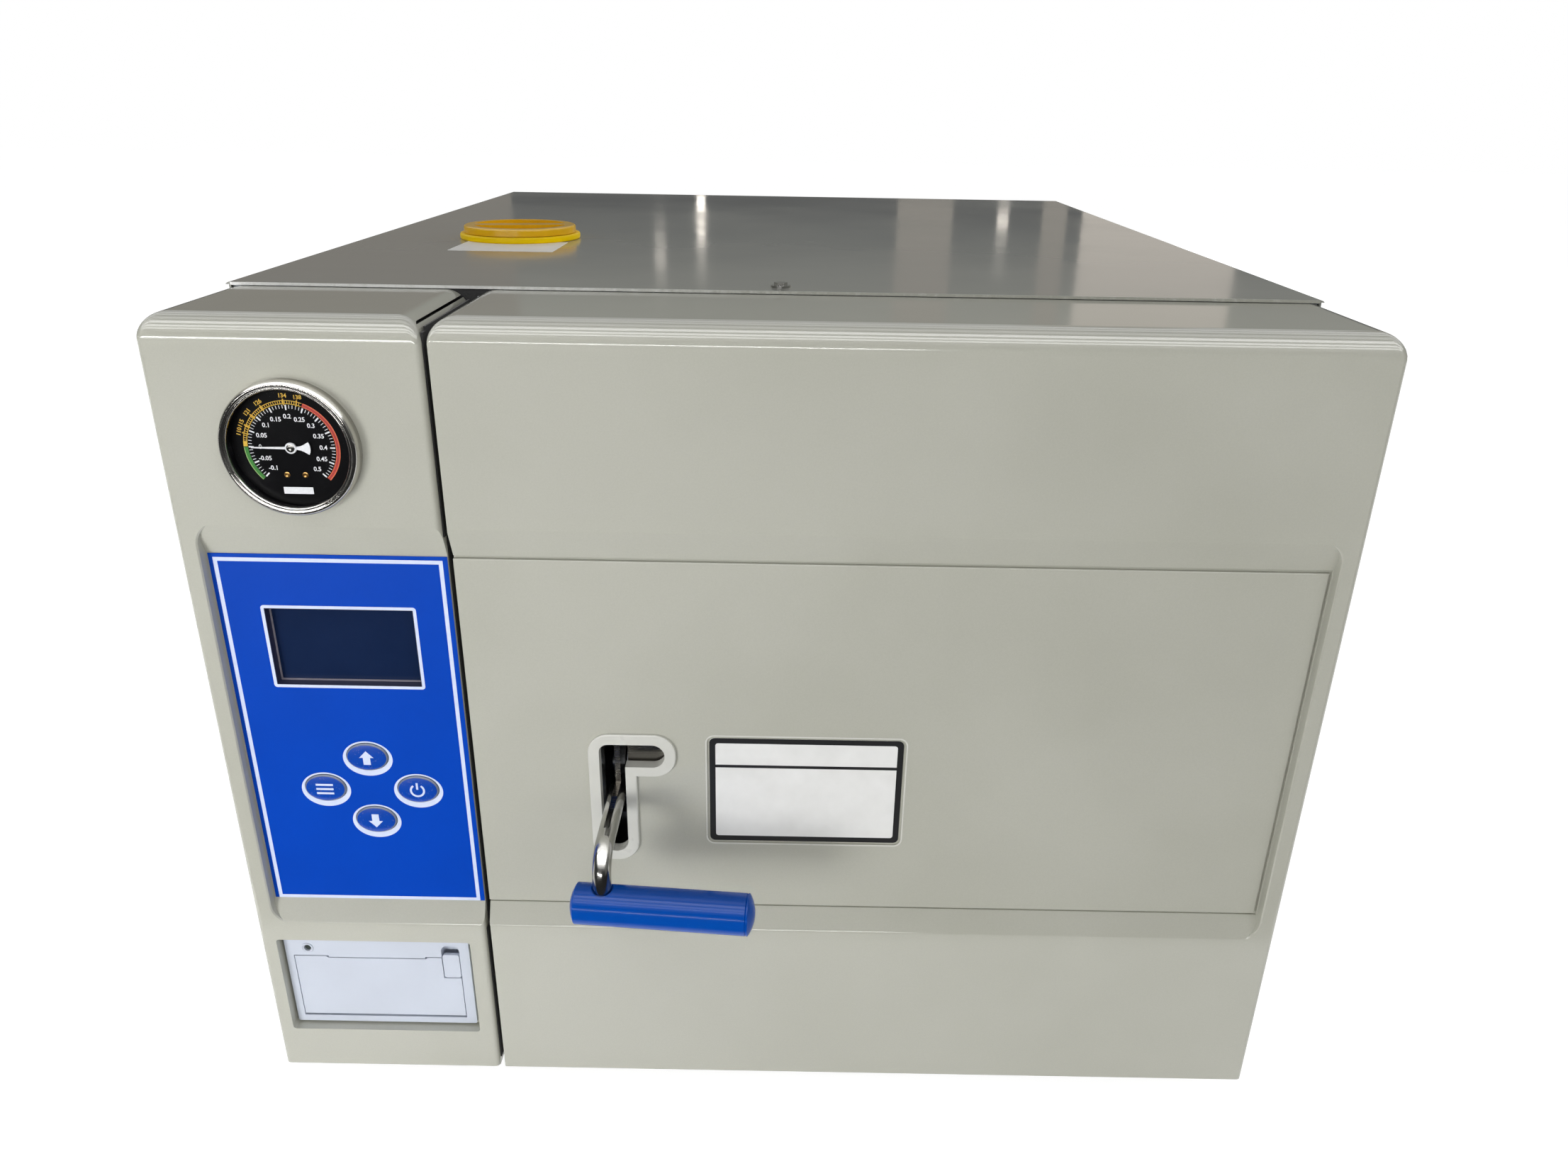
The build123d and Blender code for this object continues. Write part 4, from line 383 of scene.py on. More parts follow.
MARK_RIM, BROAD_MARK, FINE_MARK = 21.1, (18.6, 1.05), (19.4, 0.42)   # inner radius, half the degrees
BAND_IN, BAND_OUT, BAND_EDGE = 21.5, 23.5, 23.1          # BAND_EDGE is where the outer line starts
YELLOW_IN, YELLOW_OUT, RED_IN, RED_OUT = 21.8, 23.4, 21.9, 23.0
GREEN_TURN, BLOCK_TURN, YELLOW_TURN, RED_TURN = (225, 180.6), (179.6, 173), (173, 70), (69, -45)
RUNGS, RUNG_FIRST, RUNG_STEP, RUNG_HALF = 35, 171.5, -2.9, 0.35
NUMBER_SIZE, NUMBER_RADIUS, LONG_NUMBER_RADIUS = 2.2, 15.4, 15.0
HEAT_SIZE, HEAT_RADIUS, HEAT_MARK_IN, HEAT_MARK_OUT, HEAT_MARK_HALF = 2.0, 25.6, 21.0, 24.1, 0.8
STROKE, FONT_SHARE = 0.06, 0.7                           # swell of a stroke; a digit's share of its font
DIAL_SCREWS, SCREW_DROP = (-4.5, 4.5), 14.0
STICKER_HALF, STICKER_TOP, STICKER_FOOT, STICKER_THICK = 7.3, 20.3, 23.8, 0.12


def on_dial(radius, degrees):
    """Point on the dial at a radius and an angle from the right, anticlockwise."""
    turn = math.radians(degrees)
    return gauge_x + radius * math.cos(turn), gauge_z + radius * math.sin(turn)


def arc(name, r0, r1, start, end, material):
    """Printed band between two radii, from one angle to another."""
    steps = max(2, round(abs(end - start) / 3))
    turns = [start + (end - start) * n / steps for n in range(steps + 1)]
    edge = [on_dial(r1, t) for t in turns] + [on_dial(r0, t) for t in reversed(turns)]
    count = len(turns)
    points = [(px, depth, pz) for depth in (dial_front - INK, dial_front + INK) for px, pz in edge]
    faces = []
    for n in range(count - 1):
        a, b, c, d = n, n + 1, 2 * count - 2 - n, 2 * count - 1 - n
        faces += [(a, b, c, d), (a + 2 * count, b + 2 * count, c + 2 * count, d + 2 * count)]
    faces += [(n, (n + 1) % (2 * count), (n + 1) % (2 * count) + 2 * count, n + 2 * count)
              for n in range(2 * count)]
    return piece(name, points, faces, material)


# Bright chrome on brass: mirror-like, with fine polishing lines round it and a few dull spots.
rolled_chrome, tree, shader, place = finish("rolled_chrome", Metallic=1.0, Roughness=0.09)
lines = node(tree, "ShaderNodeTexNoise", {"Vector": place, "Scale": per_mm(0.8), "Detail": 5.0})
dull = node(tree, "ShaderNodeTexNoise", {"Vector": place, "Scale": per_mm(7), "Detail": 4.0})
shine = node(tree, "ShaderNodeMapRange", {"Value": dull.outputs["Fac"], "From Min": 0.35, "From Max": 0.7,
                                          "To Min": 0.12, "To Max": 0.2})
tone = node(tree, "ShaderNodeMix", {0: dull.outputs["Fac"], 6: linear("cfcdc8"), 7: linear("b9b7b2")},
            data_type="RGBA")
relief = node(tree, "ShaderNodeBump", {"Height": lines.outputs["Fac"], "Strength": 0.02,
                                       "Distance": 0.00002})
fill(shader, {"Base Color": tone.outputs[2], "Roughness": shine.outputs[0],
              "Normal": relief.outputs["Normal"]})
bezel = lathe("gauge_rolled_bezel", [(r, r, y) for r, y in BEZEL_PROFILE], gauge_x, gauge_z, rolled_chrome,
              steps=128)
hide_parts("gauge_bezel")

# Stoved black lacquer on the dial: deep, slightly glossy, with fine dust.
dial_lacquer, tree, shader, place = finish("dial_lacquer", Roughness=0.3, Specular_IOR_Level=0.2)
dust = node(tree, "ShaderNodeTexNoise", {"Vector": place, "Scale": per_mm(0.6), "Detail": 6.0})
fleck = node(tree, "ShaderNodeMapRange", {"Value": dust.outputs["Fac"], "From Min": 0.7, "From Max": 0.78,
                                          "To Min": 0.0, "To Max": 0.4})
tone = node(tree, "ShaderNodeMix", {0: fleck.outputs[0], 6: linear("040407"), 7: linear("3a3a3c")},
            data_type="RGBA")
fill(shader, {"Base Color": tone.outputs[2]})
dress(dial_lacquer, "gauge_dial", "gauge_case")

# Float glass: clear, faintly smeared. It throws no shadow on the dial.
gauge_glass, tree, shader, place = finish("gauge_glass", Base_Color=linear("ffffff"), IOR=1.2,
                                          Transmission_Weight=1.0, Roughness=0.0)
smear = node(tree, "ShaderNodeTexNoise", {"Vector": place, "Scale": per_mm(12), "Detail": 4.0})
shine = node(tree, "ShaderNodeMapRange", {"Value": smear.outputs["Fac"], "From Min": 0.4, "From Max": 0.75,
                                          "To Min": 0.0, "To Max": 0.06})
fill(shader, {"Roughness": shine.outputs[0]})
dress(gauge_glass, "gauge_lens")
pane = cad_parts["gauge_lens"]
pane.visible_shadow = pane.visible_diffuse = pane.visible_glossy = False


def print_ink(name, thick, thin):
    """Pad-printed ink: opaque, satin, and a shade weaker where the pad lifted."""
    return mottled(name, thick, thin, 0.9, 4.0, Roughness=0.45)


white_print = print_ink("white_print", "f4f5f7", "d9dbe0")
yellow_print = print_ink("yellow_print", "f2c51c", "c79c14")
green_print = print_ink("green_print", "2f9220", "246f1a")
red_print = print_ink("red_print", "c01c0a", "a01808")
amber_print = print_ink("amber_print", "ea6426", "c4501c")
light_green_print = print_ink("light_green_print", "9ac46c", "7aa552")

# Scale marks every hundredth, broader every twentieth; then the coloured bands outside them.
for n in range(-10, 51):
    turn = SCALE_ZERO + SCALE_STEP * n
    inner, half = FINE_MARK if n % 5 else BROAD_MARK
    arc(f"scale_mark_{n + 10}", inner, MARK_RIM, turn - half, turn + half, white_print)
arc("arc_green", BAND_IN, BAND_EDGE, *GREEN_TURN, green_print)
arc("arc_green_edge", BAND_EDGE, BAND_OUT, *GREEN_TURN, light_green_print)
arc("arc_yellow_block", BAND_IN, BAND_OUT, *BLOCK_TURN, yellow_print)
arc("arc_yellow_inner", BAND_IN, YELLOW_IN, *YELLOW_TURN, yellow_print)
arc("arc_yellow_outer", BAND_EDGE, YELLOW_OUT, *YELLOW_TURN, yellow_print)
for n in range(RUNGS):
    turn = RUNG_FIRST + RUNG_STEP * n
    arc(f"arc_rung_{n}", YELLOW_IN, BAND_EDGE, turn + RUNG_HALF, turn - RUNG_HALF, yellow_print)
arc("arc_red", RED_IN, RED_OUT, *RED_TURN, red_print)
arc("arc_red_inner", BAND_IN, RED_IN, *RED_TURN, amber_print)
arc("arc_red_outer", RED_OUT, BAND_OUT, *RED_TURN, amber_print)


def figures(name, words, height, material):
    """Plain numbers on the dial, from a text, radius, angle and tilt for each."""
    points, faces = [], []
    for text, radius, degrees, tilt in words:
        curve = bpy.data.curves.new(name, "FONT")
        curve.body, curve.size, curve.extrude = text, height / FONT_SHARE / 1000, INK / 1000
        curve.offset = STROKE / 1000
        curve.align_x, curve.align_y, curve.resolution_u = "CENTER", "CENTER", 3
        writer = bpy.data.objects.new(name, curve)
        letters = bpy.data.meshes.new_from_object(writer)
        start = len(points)
        px, pz = on_dial(radius, degrees)
        turn = math.radians(tilt)
        for corner in letters.vertices:
            dx, dz, dy = (value * 1000 for value in corner.co)
            points.append((px + dx * math.cos(turn) - dz * math.sin(turn), dial_front - dy,
                           pz + dx * math.sin(turn) + dz * math.cos(turn)))
        faces += [tuple(start + n for n in face.vertices) for face in letters.polygons]
        bpy.data.objects.remove(writer)
        bpy.data.curves.remove(curve)
        bpy.data.meshes.remove(letters)
    return piece(name, points, faces, material)


numbers = {-10: "-0.1", -5: "-0.05", 0: "0", 5: "0.05", 10: "0.1", 15: "0.15", 20: "0.2", 25: "0.25",
           30: "0.3", 35: "0.35", 40: "0.4", 45: "0.45", 50: "0.5"}
figures("scale_numbers", [(text, NUMBER_RADIUS if len(text) < 4 else LONG_NUMBER_RADIUS,
                           SCALE_ZERO + SCALE_STEP * n, 0) for n, text in numbers.items()],
        NUMBER_SIZE, white_print)
heat = {"110": 163, "115": 153, "121": 138, "126": 121, "134": 92, "138": 76}
for name, turn in heat.items():
    arc("heat_mark_" + name, HEAT_MARK_IN, HEAT_MARK_OUT, turn + HEAT_MARK_HALF, turn - HEAT_MARK_HALF,
        yellow_print)
figures("heat_numbers", [(text, HEAT_RADIUS, turn, turn - 90 if turn > 110 else 0)
                         for text, turn in heat.items()], HEAT_SIZE, yellow_print)

# Two brass screws hold the dial; under them a small white sticker, left blank.
turned_brass = mottled("turned_brass", "d7ae6a", "9a6f3e", 1.2, 5.0, Metallic=1.0, Roughness=0.3)
SCREW_PROFILE = ((1.5, 0.3), (1.5, -0.1), (1.2, -0.4), (0.8, -0.5), (0.7, -0.15), (0, -0.15), (0, 0.3))
for n, dx in enumerate(DIAL_SCREWS):
    lathe(f"dial_screw_{n}", [(r, r, dial_front + y) for r, y in SCREW_PROFILE],
          gauge_x + dx, gauge_z - SCREW_DROP, turned_brass, steps=32)
flat("dial_sticker", rounded(gauge_x - STICKER_HALF, gauge_x + STICKER_HALF, gauge_z - STICKER_FOOT,
                             gauge_z - STICKER_TOP, 0.15),
     dial_front - STICKER_THICK, dial_front + INK, white_print)

# Needle: stamped aluminium in white lacquer, with a flared tail and a bright cap on its arbor.
needle_y = span(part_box("gauge_needle"))[0][1]
BLADE_FRONT, BLADE_BACK = 0.8, 1.3
NEEDLE_HALF = [(-19.4, 0.28), (-12, 0.42), (-2.6, 0.62), (0, 0.8), (3.0, 0.75), (4.8, 1.05), (6.4, 1.75),
               (7.7, 2.55), (8.7, 3.15), (9.25, 2.1), (9.5, 1.0)]
BOSS_PROFILE = ((2.8, 1.4), (2.8, 0.7), (2.6, 0.5), (2.0, 0.5), (0, 0.5), (0, 1.4))
CAP_PROFILE = ((2.0, 0.6), (2.0, 0.3), (1.8, 0.1), (1.0, 0), (0.6, 0), (0.5, 0.2), (0, 0.2), (0, 0.6))
edge = NEEDLE_HALF + [(x, -z) for x, z in reversed(NEEDLE_HALF)]
blade = flat("needle_blade", [(gauge_x + x, gauge_z + z) for x, z in edge], needle_y + BLADE_FRONT,
             needle_y + BLADE_BACK, white_print, body="gauge_needle")
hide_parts("gauge_needle")
lathe("needle_boss", [(r, r, needle_y + y) for r, y in BOSS_PROFILE], gauge_x, gauge_z, white_print,
      body="gauge_needle", steps=64)
lathe("needle_cap", [(r, r, needle_y + y) for r, y in CAP_PROFILE], gauge_x, gauge_z, rolled_chrome,
      body="gauge_needle", steps=48)


# ---- printer -------------------------------------------------------------------------------
# Thermal panel printer, dropped into the shell's pocket: cool white ABS frame, a door over the
# paper roll, a small spring latch and a lamp in its top left corner.
printer_abs, tree, shader, place = finish("printer_abs", Roughness=0.4, IOR=1.53)
grain = node(tree, "ShaderNodeTexNoise", {"Vector": place, "Scale": per_mm(0.8), "Detail": 3.0})
aged = node(tree, "ShaderNodeTexNoise", {"Vector": place, "Scale": per_mm(40), "Detail": 4.0})
tone = node(tree, "ShaderNodeMix", {0: aged.outputs["Fac"], 6: linear("d3dae7"), 7: linear("c6ccd8")},
            data_type="RGBA")
relief = node(tree, "ShaderNodeBump", {"Height": grain.outputs["Fac"], "Strength": 0.25,
                                       "Distance": 0.00008})
fill(shader, {"Base Color": tone.outputs[2], "Normal": relief.outputs["Normal"]})
dress(printer_abs, "printer_frame", "printer_door", "printer_latch")

# Thermal paper, wound on a card tube: bright, matt, with the fine edge lines of its turns.
thermal_paper = mottled("thermal_paper", "f2f2ee", "deded8", 0.5, 2.0, Roughness=0.75)
dress(thermal_paper, "paper_roll")

# Lamp: unlit clear green resin inside a small raised collar.
LAMP_IN, LAMP_DROP = 13.6, 7.6
RESIN_PROFILE = ((2.15, 1.9), (2.1, 1.4), (1.5, 0.9), (0, 0.7), (0, 1.9))
COLLAR_PROFILE = ((3.7, 0.03), (3.5, -0.45), (3.1, -0.5), (2.25, 0.2), (2.25, 0.5), (3.4, 0.1))
low, high = span(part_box("printer_frame"))
lamp_x, lamp_y, lamp_z = low[0] + LAMP_IN, low[1], high[2] - LAMP_DROP
lamp_resin = mottled("lamp_resin", "1b2420", "2c3a32", 1.0, 2.0, Roughness=0.12, IOR=1.5)
lathe("printer_lamp", [(r, r, lamp_y + y) for r, y in RESIN_PROFILE], lamp_x, lamp_z, lamp_resin, steps=32)
lathe("printer_lamp_collar", [(r, r, lamp_y + y) for r, y in COLLAR_PROFILE], lamp_x, lamp_z, printer_abs,
      steps=40)


# ---- door handle and latch -----------------------------------------------------------------
# A bent chromed rod comes out through the slot and down into a blue moulded grip with an end
# cap. Behind the slot are the polished gate plate and the lever that hooks the frame's keeper.

# Bright chrome over ground bar: sharp reflections, a trace of the grinding round the bar.
chrome_rod, tree, shader, place = finish("chrome_rod", Metallic=1.0, Roughness=0.12)
ground = node(tree, "ShaderNodeTexNoise", {"Vector": place, "Scale": per_mm(0.6), "Detail": 4.0})
smudge = node(tree, "ShaderNodeTexNoise", {"Vector": place, "Scale": per_mm(9), "Detail": 5.0})
shine = node(tree, "ShaderNodeMapRange", {"Value": smudge.outputs["Fac"], "From Min": 0.35,
                                          "From Max": 0.7, "To Min": 0.1, "To Max": 0.26})
tone = node(tree, "ShaderNodeMix", {0: smudge.outputs["Fac"], 6: linear("bdbcb8"), 7: linear("a3a29e")},
            data_type="RGBA")
relief = node(tree, "ShaderNodeBump", {"Height": ground.outputs["Fac"], "Strength": 0.08,
                                       "Distance": 0.00004})
fill(shader, {"Base Color": tone.outputs[2], "Roughness": shine.outputs[0],
              "Normal": relief.outputs["Normal"]})
dress(chrome_rod, "handle_rod", "cover_screws")

# Moulded polypropylene, polished by hands: a long highlight, with fine scratches along the grip.
grip_plastic, tree, shader, place = finish("grip_plastic", Roughness=0.16, Specular_IOR_Level=0.16)
drawn = node(tree, "ShaderNodeMapping", {"Vector": place, "Scale": (per_mm(26), per_mm(0.5), per_mm(0.5))})
scratch = node(tree, "ShaderNodeTexNoise", {"Vector": drawn.outputs[0], "Scale": 1.0, "Detail": 3.0})
thin = node(tree, "ShaderNodeMapRange", {"Value": scratch.outputs["Fac"], "From Min": 0.7,
                                         "From Max": 0.76, "To Min": 0.0, "To Max": 0.7})
tone = node(tree, "ShaderNodeMix", {0: thin.outputs[0], 6: linear("0049a8"), 7: linear("2f66b6")},
            data_type="RGBA")
shine = node(tree, "ShaderNodeMapRange", {"Value": thin.outputs[0], "To Min": 0.16, "To Max": 0.34})
fill(shader, {"Base Color": tone.outputs[2], "Roughness": shine.outputs[0]})
dress(grip_plastic, "handle_grip", "grip_cap")

# Rolled stainless sheet, buffed: a soft mirror drawn out along the buffing. Its colour is painted darker, as
# painted shade, because the plate and lever sit in shade behind the slot.
buffed_steel_in_shade, tree, shader, place = finish("buffed_steel_in_shade", Metallic=1.0, Roughness=0.24)
drawn = node(tree, "ShaderNodeMapping", {"Vector": place, "Scale": (per_mm(30), per_mm(0.5), per_mm(0.5))})
lines = node(tree, "ShaderNodeTexNoise", {"Vector": drawn.outputs[0], "Scale": 1.0, "Detail": 5.0})
tone = node(tree, "ShaderNodeMix", {0: lines.outputs["Fac"], 6: linear("8f8c86"), 7: linear("6b6863")},
            data_type="RGBA")
shine = node(tree, "ShaderNodeMapRange", {"Value": lines.outputs["Fac"], "From Min": 0.3, "From Max": 0.7,
                                          "To Min": 0.16, "To Max": 0.34})
fill(shader, {"Base Color": tone.outputs[2], "Roughness": shine.outputs[0]})
dress(buffed_steel_in_shade, "gate_plate", "latch_lever")


# ---- door label ----------------------------------------------------------------------------
# White polyester label in a shallow recess, printed with a black rounded border and one rule.
# It carries no words.
low, high = span(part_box("label_plate"))
x0, x1, z0, z1 = low[0], high[0], low[2], high[2]
label_front = low[1]
LABEL_CORNER, FIELD_CORNER = 3.0, 1.6
FIELD_SIDE, FIELD_EDGE = 3.3, 3.2
RULE_SHARE, RULE_HALF, RULE_LAP = 0.735, 0.9, 0.2
RECESS_FACE, RECESS_ROOM, RECESS_HIGHLIGHT, RECESS_CORNER = 0.6, 1.35, 0.8, 4.0

# Semi-matt polyester: even white, with a faint ripple from the glue under it.
label_film, tree, shader, place = finish("label_film", Roughness=0.4, IOR=1.5)
glue = node(tree, "ShaderNodeTexNoise", {"Vector": place, "Scale": per_mm(12), "Detail": 3.0})
tone = node(tree, "ShaderNodeMix", {0: glue.outputs["Fac"], 6: linear("f0f0ee"), 7: linear("e2e2df")},
            data_type="RGBA")
relief = node(tree, "ShaderNodeBump", {"Height": glue.outputs["Fac"], "Strength": 0.15, "Distance": 0.0003})
fill(shader, {"Base Color": tone.outputs[2], "Normal": relief.outputs["Normal"]})
dress(label_film, "label_plate")

black_print = print_ink("black_print", "101012", "1e1e20")
flat("label_border", rounded(x0, x1, z0, z1, LABEL_CORNER), label_front - INK, label_front + INK, black_print,
     hole=rounded(x0 + FIELD_SIDE, x1 - FIELD_SIDE, z0 + FIELD_EDGE, z1 - FIELD_EDGE, FIELD_CORNER),
     body="door")

# A flat ring round the recess, in the rim's lighter ABS, is a painted highlight of the recess's bevelled
# edge.
recess_y = label_front - RECESS_FACE
flat("label_recess_highlight",
     inset((x0, x1, z0, z1), -RECESS_ROOM - RECESS_HIGHLIGHT, RECESS_CORNER + RECESS_HIGHLIGHT),
     recess_y - 0.06, recess_y + 0.2, satin_abs_highlight,
     hole=inset((x0, x1, z0, z1), -RECESS_ROOM, RECESS_CORNER), body="door")
# One rule parts the label's head from its field.
rule_z = z0 + (z1 - z0) * RULE_SHARE
side = FIELD_SIDE - RULE_LAP
flat("label_rule", rounded(x0 + side, x1 - side, rule_z - RULE_HALF, rule_z + RULE_HALF, 0.05),
     label_front - INK, label_front + INK, black_print, body="door")


# ---- seam strip ----------------------------------------------------------------------------
# Black sheets on the control shell's side wall and on the frame behind its top corner, put there as
# painted shade: they keep the seam between the shell and the door dark, with no light leaking through.
STRIP_THICK, STRIP_LAP = 0.8, 0.1
STRIPS = ((5, 459, 8.2, 89.5), (5, 106, 3.2, 8.2), (354, 457, 3.2, 8.2))    # foot, top, front, back
PATCH, PATCH_CORNER, PATCH_FRONT, PATCH_BACK = (116.0, 154.0, 424.0, 463.8), 1.0, 90.6, 91.9

# Painted shade for the seam: a black, matt sheet with small cells in its face.
seam_shade_sheet, tree, shader, place = finish("seam_shade_sheet", Roughness=0.85)
cells = node(tree, "ShaderNodeTexVoronoi", {"Vector": place, "Scale": per_mm(0.9)})
tone = node(tree, "ShaderNodeMix", {0: cells.outputs["Distance"], 6: linear("0b0b0c"), 7: linear("1c1c1d")},
            data_type="RGBA")
relief = node(tree, "ShaderNodeBump", {"Height": cells.outputs["Distance"], "Strength": 0.5,
                                       "Distance": 0.0002})
fill(shader, {"Base Color": tone.outputs[2], "Normal": relief.outputs["Normal"]})
wall_x = span(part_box("control_shell"))[1][0]
x0, x1 = wall_x - STRIP_LAP, wall_x + STRIP_THICK
for n, (z0, z1, front, back) in enumerate(STRIPS):
    flat(f"seam_shade_strip_{n}", [(x0, z0), (x1, z0), (x1, z1), (x0, z1)], front, back, seam_shade_sheet)
flat("seam_shade_patch", rounded(*PATCH, PATCH_CORNER), PATCH_FRONT, PATCH_BACK, seam_shade_sheet)


# ---- cover and lid -------------------------------------------------------------------------
# One folded steel sheet over the top and sides, powder-coated in the mouldings' grey. It holds
# the tank's filler, whose yellow cap sits on a yellow neck, and a blank sticker beside it.
HIGHLIGHT_FULL, HIGHLIGHT_GONE = -170, 20        # from the middle of the machine
EDGE_SIDE, EDGE_TALL, EDGE_DEEP = 3, 1.5, 0.3
STICKER, STICKER_CORNER = (80, 150, 243, 300), 1.5      # left, right, front and back

# Gloss powder coat: slight orange peel, a hard reflection, and shallow dents from handling.
powder_coat, tree, shader, place = finish("powder_coat", Roughness=0.12, IOR=1.5)
peel = node(tree, "ShaderNodeTexNoise", {"Vector": place, "Scale": per_mm(2.2), "Detail": 2.0})
dents = node(tree, "ShaderNodeTexNoise", {"Vector": place, "Scale": per_mm(95), "Detail": 2.0})
dusty = node(tree, "ShaderNodeTexNoise", {"Vector": place, "Scale": per_mm(140), "Detail": 3.0})
tone = node(tree, "ShaderNodeMix", {0: dusty.outputs["Fac"], 6: linear("a6a7a0"), 7: linear("9d9e97")},
            data_type="RGBA")
shine = node(tree, "ShaderNodeMapRange", {"Value": dusty.outputs["Fac"], "From Min": 0.3, "From Max": 0.7,
                                          "To Min": 0.08, "To Max": 0.16})
deep = node(tree, "ShaderNodeBump", {"Height": dents.outputs["Fac"], "Strength": 0.3, "Distance": 0.0008})
relief = node(tree, "ShaderNodeBump", {"Height": peel.outputs["Fac"], "Strength": 0.06, "Distance": 0.00005,
                                       "Normal": deep.outputs["Normal"]})
fill(shader, {"Base Color": tone.outputs[2], "Roughness": shine.outputs[0],
              "Normal": relief.outputs["Normal"]})
dress(powder_coat, "top_cover", "rear_panel")

# Yellow polypropylene: warm and glossy on the cap, where fingers turn it, and duller on the neck.
cap_plastic = mottled("cap_plastic", "efbe10", "e2ae08", 6, 6.0, Roughness=0.2, Specular_IOR_Level=0.35)
dress(cap_plastic, "filler_cap")
neck_plastic = mottled("neck_plastic", "ffd800", "f4cc00", 6, 6.0, Roughness=0.3, Specular_IOR_Level=0.06)
dress(neck_plastic, "filler_neck")

# Painted highlight on the sheet's front edge: a bright strip on the left, fading towards the right into the
# cover's grey, broken up along its length.
painted_edge_highlight, tree, shader, place = finish("painted_edge_highlight", Roughness=0.3, IOR=1.5)
highlight_breaks = node(tree, "ShaderNodeTexNoise", {"Vector": place, "Scale": per_mm(3), "Detail": 4.0})
along = node(tree, "ShaderNodeSeparateXYZ", {"Vector": place})
highlight_fade = node(tree, "ShaderNodeMapRange", {"Value": along.outputs["X"], "From Min": HIGHLIGHT_FULL / 1000,
                                          "From Max": HIGHLIGHT_GONE / 1000})
breaks_offset = node(tree, "ShaderNodeMath", {0: highlight_breaks.outputs["Fac"], 1: 0.5}, operation="SUBTRACT")
highlight_fade = node(tree, "ShaderNodeMath", {0: highlight_fade.outputs[0], 1: breaks_offset.outputs[0]}, operation="ADD")
highlight_fade = node(tree, "ShaderNodeClamp", {"Value": highlight_fade.outputs[0]})
tone = node(tree, "ShaderNodeMix", {0: highlight_fade.outputs[0], 6: linear("f6f6f4"), 7: linear("b4b4aa")},
            data_type="RGBA")
fill(shader, {"Base Color": tone.outputs[2]})
low, high = span(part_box("top_cover"))
x0, x1, z0, z1 = low[0] + EDGE_SIDE, high[0] - EDGE_SIDE, high[2] - EDGE_TALL, high[2] + 0.02
flat("cover_edge_highlight", [(x0, z0), (x1, z0), (x1, z1), (x0, z1)], low[1] - 0.25, low[1] + EDGE_DEEP, painted_edge_highlight)

# Blank paper sticker, half under the neck's flange.
cover_top = span(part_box("top_cover"))[1][2]
sticker = rounded(*STICKER, STICKER_CORNER)
piece("cover_sticker", [(x, y, z) for z in (cover_top - 0.03, cover_top + 0.12) for x, y in sticker],
      [tuple(range(len(sticker))), tuple(range(len(sticker), 2 * len(sticker)))]
      + [(n, (n + 1) % len(sticker), (n + 1) % len(sticker) + len(sticker), n + len(sticker))
         for n in range(len(sticker))], label_film)


# ---- chamber, door plate and seal ----------------------------------------------------------
# Pressed stainless vessel with a welded flange, and a dished door plate on the yoke's spindle.
# A silicone ring seals them; the rack and the perforated trays slide in.

# Electropolished stainless: bright, soft reflections, faint water marks.
vessel_steel, tree, shader, place = finish("vessel_steel", Metallic=1.0, Roughness=0.26)
marks = node(tree, "ShaderNodeTexNoise", {"Vector": place, "Scale": per_mm(22), "Detail": 6.0})
tone = node(tree, "ShaderNodeMix", {0: marks.outputs["Fac"], 6: linear("cfcec9"), 7: linear("bfbdb7")},
            data_type="RGBA")
shine = node(tree, "ShaderNodeMapRange", {"Value": marks.outputs["Fac"], "From Min": 0.3, "From Max": 0.7,
                                          "To Min": 0.22, "To Max": 0.32})
fill(shader, {"Base Color": tone.outputs[2], "Roughness": shine.outputs[0]})
dress(vessel_steel, "chamber", "chamber_flange", "pressure_door", "tray_rack", "temperature_probe")

# Cured silicone: milky, matt, slightly translucent.
seal_silicone = mottled("seal_silicone", "e8e6de", "d6d3c8", 8, 4.0,
                        Roughness=0.5, IOR=1.41, Subsurface_Weight=0.3, Subsurface_Scale=0.003)
dress(seal_silicone, "door_gasket")

# Anodised aluminium trays: dull silver with drawn lines along the sheet.
tray_aluminium, tree, shader, place = finish("tray_aluminium", Metallic=1.0, Roughness=0.4)
drawn = node(tree, "ShaderNodeMapping", {"Vector": place, "Scale": (per_mm(0.8), per_mm(40), per_mm(0.8))})
lines = node(tree, "ShaderNodeTexNoise", {"Vector": drawn.outputs[0], "Scale": 1.0, "Detail": 4.0})
tone = node(tree, "ShaderNodeMix", {0: lines.outputs["Fac"], 6: linear("c9cbcd"), 7: linear("a9abad")},
            data_type="RGBA")
fill(shader, {"Base Color": tone.outputs[2]})
dress(tray_aluminium, "trays")

# Zinc-plated steel on the frame, hinges, yoke and latch: bluish grey crystals and a dull shine.
zinc_plate, tree, shader, place = finish("zinc_plate", Metallic=1.0, Roughness=0.38)
spangle = node(tree, "ShaderNodeTexVoronoi", {"Vector": place, "Scale": per_mm(9)})
stain = node(tree, "ShaderNodeTexNoise", {"Vector": place, "Scale": per_mm(30), "Detail": 5.0})
tone = node(tree, "ShaderNodeMix", {0: stain.outputs["Fac"], 6: linear("b6b9bc"), 7: linear("a0a3a7")},
            data_type="RGBA")
shine = node(tree, "ShaderNodeMapRange", {"Value": spangle.outputs["Distance"], "From Min": 0.0,
                                          "From Max": 0.8, "To Min": 0.36, "To Max": 0.46})
fill(shader, {"Base Color": tone.outputs[2], "Roughness": shine.outputs[0]})
dress(zinc_plate, "front_frame", "base_tray", "door_liner", "door_yoke", "door_post", "latch_clevis",
      "latch_keeper", "frame_hinges")


# ---- inside the housing --------------------------------------------------------------------
# Tank, pump, valves, heater and boards around the chamber. They show through the vents and when
# the door or the filler is open.

# Natural blow-moulded polyethylene: milky and waxy.
tank_polythene = mottled("tank_polythene", "eceae2", "dcdad0", 25, 3.0,
                         Roughness=0.45, IOR=1.5, Subsurface_Weight=0.3, Subsurface_Scale=0.004)
dress(tank_polythene, "water_tank")

